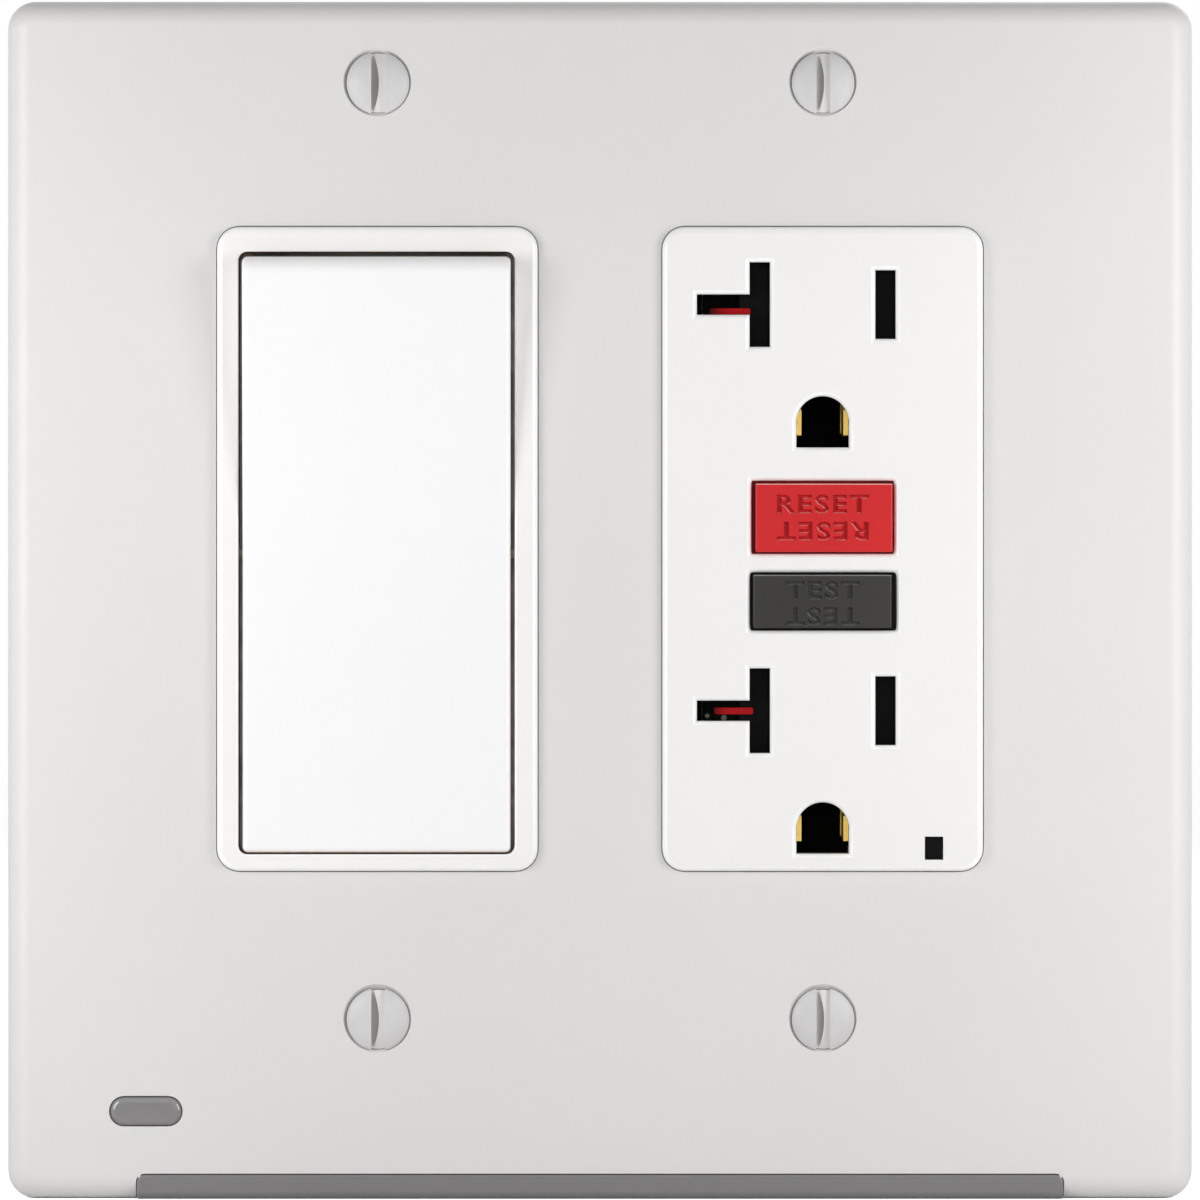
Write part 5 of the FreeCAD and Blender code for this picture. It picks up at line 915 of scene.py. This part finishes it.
def receptacle_face():
    """The receptacle's front, with eased openings."""
    face = device_front("receptacle_front", RIGHT)
    hollow(face, wall=1.8, deep=3.8)
    ledge = shoulder(RIGHT)
    carve(ledge, block("inside", RIGHT - 15.6, RIGHT + 15.6, 0, 3, -32.3, 32.3))
    weld(face, ledge)
    cutters = []
    ground_radius = 2.73
    for up in OUTLETS_UP:
        ground = [(-9.0, ground_radius)] + [(depth, ground_radius + opens) for depth, opens in EASE]
        arch = turned("ground", RIGHT, 0, up - 12.2, "out", ground, 64)
        combine(arch, "INTERSECT", [block("above", RIGHT - 9, RIGHT + 9, -20, 20, up - 12.75, up + 9)])
        cutters += [
            slot_cutter("neutral", RIGHT - 7.55, RIGHT - 5.45, up - 4.375, up + 4.375),
            slot_cutter("tee", RIGHT - 13.0, RIGHT - 6.5, up - 1.05, up + 1.05),
            slot_cutter("hot", RIGHT + 5.45, RIGHT + 7.55, up - 3.55, up + 3.55),
            arch,
            slot_cutter("ground_foot", RIGHT - 2.71, RIGHT + 2.71, up - 14.77, up - 12.6),
        ]
    cutters += [
        slot_cutter("reset_opening", RIGHT - 7.36, RIGHT + 7.36, -0.36, 7.16, 0.15),
        slot_cutter("test_opening", RIGHT - 7.5, RIGHT + 7.6, -8.3, -2.3, 0.25),
        block("window", RIGHT + 10.55, RIGHT + 12.45, 0, 9, -32.0, -29.6),
    ]
    carve(face, *cutters)
    tidy(face)
    return finish_piece(smooth(face), "face_plastic", "receptacle_face")


LETTER_DEEP = 0.64


def lettering(word, across, depth, up, height, width, over):
    """Letters of a plain word with sloping sides, to be cut into a button."""
    bpy.ops.object.text_add(location=(0, 0, 0))
    text = bpy.context.object
    text.data.body = word
    text.data.align_x = "CENTER"
    text.data.align_y = "CENTER"
    text.data.space_character = 1.2
    text.data.extrude = 0.02
    text.data.bevel_depth = 0.035
    text.data.bevel_resolution = 0
    text.data.resolution_u = 3
    bpy.ops.object.convert(target="MESH")
    text = bpy.context.object
    low = [min(v.co[i] for v in text.data.vertices) for i in range(3)]
    high = [max(v.co[i] for v in text.data.vertices) for i in range(3)]
    text.location = [-(a + b) / 2 for a, b in zip(low, high)]
    settle()
    text.scale = [size * MM / (b - a) for size, a, b in zip((width, height, LETTER_DEEP), low, high)]
    settle()
    text.rotation_euler = (math.radians(90), math.radians(180) if over else 0, 0)
    text.location = (across * MM, -depth * MM, up * MM)
    settle()
    return tidy(text)


def push_button(name, word, box, pin, word_height, word_width, lines, finish, cad, shades):
    """A button with eased edges, a stop flange behind and a word cut in twice, with painted highlights
    on the letters' up-facing walls and the top edge.
    """
    left, right, low, high = box
    left, right = RIGHT + left, RIGHT + right
    back = 4.1
    button = rounded_block(name, left, right, back, BUTTON_FRONT, low, high, 0.18, 4)
    round_off(button, at_depth(BUTTON_FRONT), 0.3, 4)
    weld(button, block("flange", left - 0.9, right + 0.9, back, back + 1, low - 0.5, high + 0.5))
    if pin:
        weld(button, rod("pin", RIGHT, 4.3, 3.4, "in", 1.4, 10.9, 32))
    for over, line in zip((False, True), lines):
        carve(button, lettering(word, RIGHT, 7.66, line, word_height, word_width, over))
    finish_piece(smooth(button, 28), finish, cad)

    # The letters take the first given finish and their up-facing walls the second, as does the cap's
    # up-facing top edge: on the red button painted shade and painted highlights, on the dark button its
    # own tone and painted highlights.
    def letter_part(face, x, depth, z):
        beside = abs(x - RIGHT) < word_width / 2 + 0.05
        in_word = beside and min(abs(z - line) for line in lines) < word_height / 2 + 0.05
        if in_word and 7.2 < depth < 7.597:
            return 2 if face.normal.z > 0.3 else 1
        return 2 if depth > 7.2 and z > high - 0.4 and face.normal.z > 0.2 else 0

    add_finishes(button, shades, letter_part)


def red_cams():
    """The red slides seen at the foot of each level slot, on the shutters."""
    for name, body, left, right, low, high in (
        ("upper_red_cam", "upper_shutter_body", 11.34, 15.57, 24.3, 25.05),
        ("lower_red_cam", "lower_shutter_body", 11.82, 15.88, -17.0, -16.27),
    ):
        cam = rounded_block(name, left, right, 4.85, 5.15, low, high, 0.2, 3)
        round_off(cam, at_depth(5.15), 0.1, 2)
        finish_piece(smooth(cam), "red_button", body=body)
        cam.data.materials[0] = FINISHES["red_slide"]


def painted_shade_sheets():
    """Thin black sheets of painted shade behind each ground hole and each level slot, where the inside
    shows only shade.
    """
    shade_sheets = []
    # Black sheets that stand in for the shade deep in the holes and at the ends of the level slots.
    for up in OUTLETS_UP:
        shade_sheets += [
            block("shade_sheet", RIGHT - 2.05, RIGHT + 2.05, -7.95, -7.85, up - 15.4, up - 8.9),
            block("shade_sheet_foot", RIGHT - 3.2, RIGHT + 3.2, -7.84, -7.8, up - 15.4, up - 13.16),
            block("shade_sheet_end", RIGHT - 13.3, RIGHT - 12.45, 0.04, 0.1, up - 1.3, up + 1.3),
        ]
    return finish_piece(join("painted_shade_sheets", *shade_sheets), "black_plastic", body="root")


wall_plate()
plate_screws()
light_bar()
sensor_window()
switch_bezel()
rocker_paddle()
receptacle_face()
push_button("reset_cap", "RESET", (-6.95, 7.22, -0.2, 6.88), True, 1.95, 9.5, (4.77, 1.97),
            "red_button", "reset_button", ("red_painted_shade", "red_painted_highlight"))
push_button("test_cap", "TEST", (-7.2, 7.12, -8.05, -2.55), False, 1.9, 7.6, (-4.15, -6.85),
            "dark_button", "test_button", ("dark_recess", "dark_painted_highlight"))
red_cams()
painted_shade_sheets()


# Floor, room and lights

def stage():
    """A pale floor, white to the camera, that keeps the object's shadow."""
    bpy.ops.mesh.primitive_plane_add(size=8, location=(0, 0, plate_low.z))
    floor = bpy.context.object
    floor.name = "floor"
    settle()
    tree, shader, where = start_material("floor")
    grain = noise(tree, where, 30.0, 2.0)
    colour = blend_colours(tree, grain, tone(240, 240, 240), tone(244, 244, 244))
    tree.links.new(colour, shader.inputs["Base Color"])
    shader.inputs["Roughness"].default_value = 0.8
    shader.inputs["Emission Color"].default_value = (1, 1, 1, 1)
    rays = tree.nodes.new("ShaderNodeLightPath")
    glow = arithmetic(tree, "MULTIPLY", rays.outputs["Is Camera Ray"], 0.66)
    tree.links.new(glow, shader.inputs["Emission Strength"])
    floor.data.materials.append(FINISHES["floor"])


def room():
    """White to camera, mirror and glass; a plain grey fill for the rest."""
    world = bpy.data.worlds.new("room")
    bpy.context.scene.world = world
    world.use_nodes = True
    tree = world.node_tree
    tree.nodes.clear()
    rays = tree.nodes.new("ShaderNodeLightPath").outputs
    seen = arithmetic(tree, "MAXIMUM", rays["Is Camera Ray"],
                      arithmetic(tree, "MAXIMUM", rays["Is Glossy Ray"], rays["Is Transmission Ray"]))
    plain = node(tree, "ShaderNodeBackground", Color=(1, 1, 1, 1), Strength=0.265)
    white = node(tree, "ShaderNodeBackground", Color=(1, 1, 1, 1), Strength=1.0)
    both = tree.nodes.new("ShaderNodeMixShader")
    tree.links.new(seen, both.inputs[0])
    tree.links.new(plain.outputs[0], both.inputs[1])
    tree.links.new(white.outputs[0], both.inputs[2])
    output = tree.nodes.new("ShaderNodeOutputWorld")
    tree.links.new(both.outputs[0], output.inputs[0])


def lamp(name, location, target, wide, tall, watts):
    """A soft rectangular light, turned to its target and hidden from the camera."""
    data = bpy.data.lights.new(name, "AREA")
    data.shape = "RECTANGLE"
    data.size = wide
    data.size_y = tall
    data.energy = watts
    light = bpy.data.objects.new(name, data)
    bpy.context.scene.collection.objects.link(light)
    light.location = location
    light.visible_camera = False
    light.rotation_euler = (Vector(target) - Vector(location)).to_track_quat("-Z", "Y").to_euler()


stage()
room()
for name, side in (("left_softbox", -1), ("right_softbox", 1)):
    lamp(name, (side * 0.16, -0.13, 0.024), (0, 0, 0.01), 0.08, 0.126, 0.197)
lamp("back_softbox", (0.5, 1.4, 0.9), (0, 0, 0), 0.9, 0.9, 9.0)

bpy.context.scene.view_settings.view_transform = "Standard"
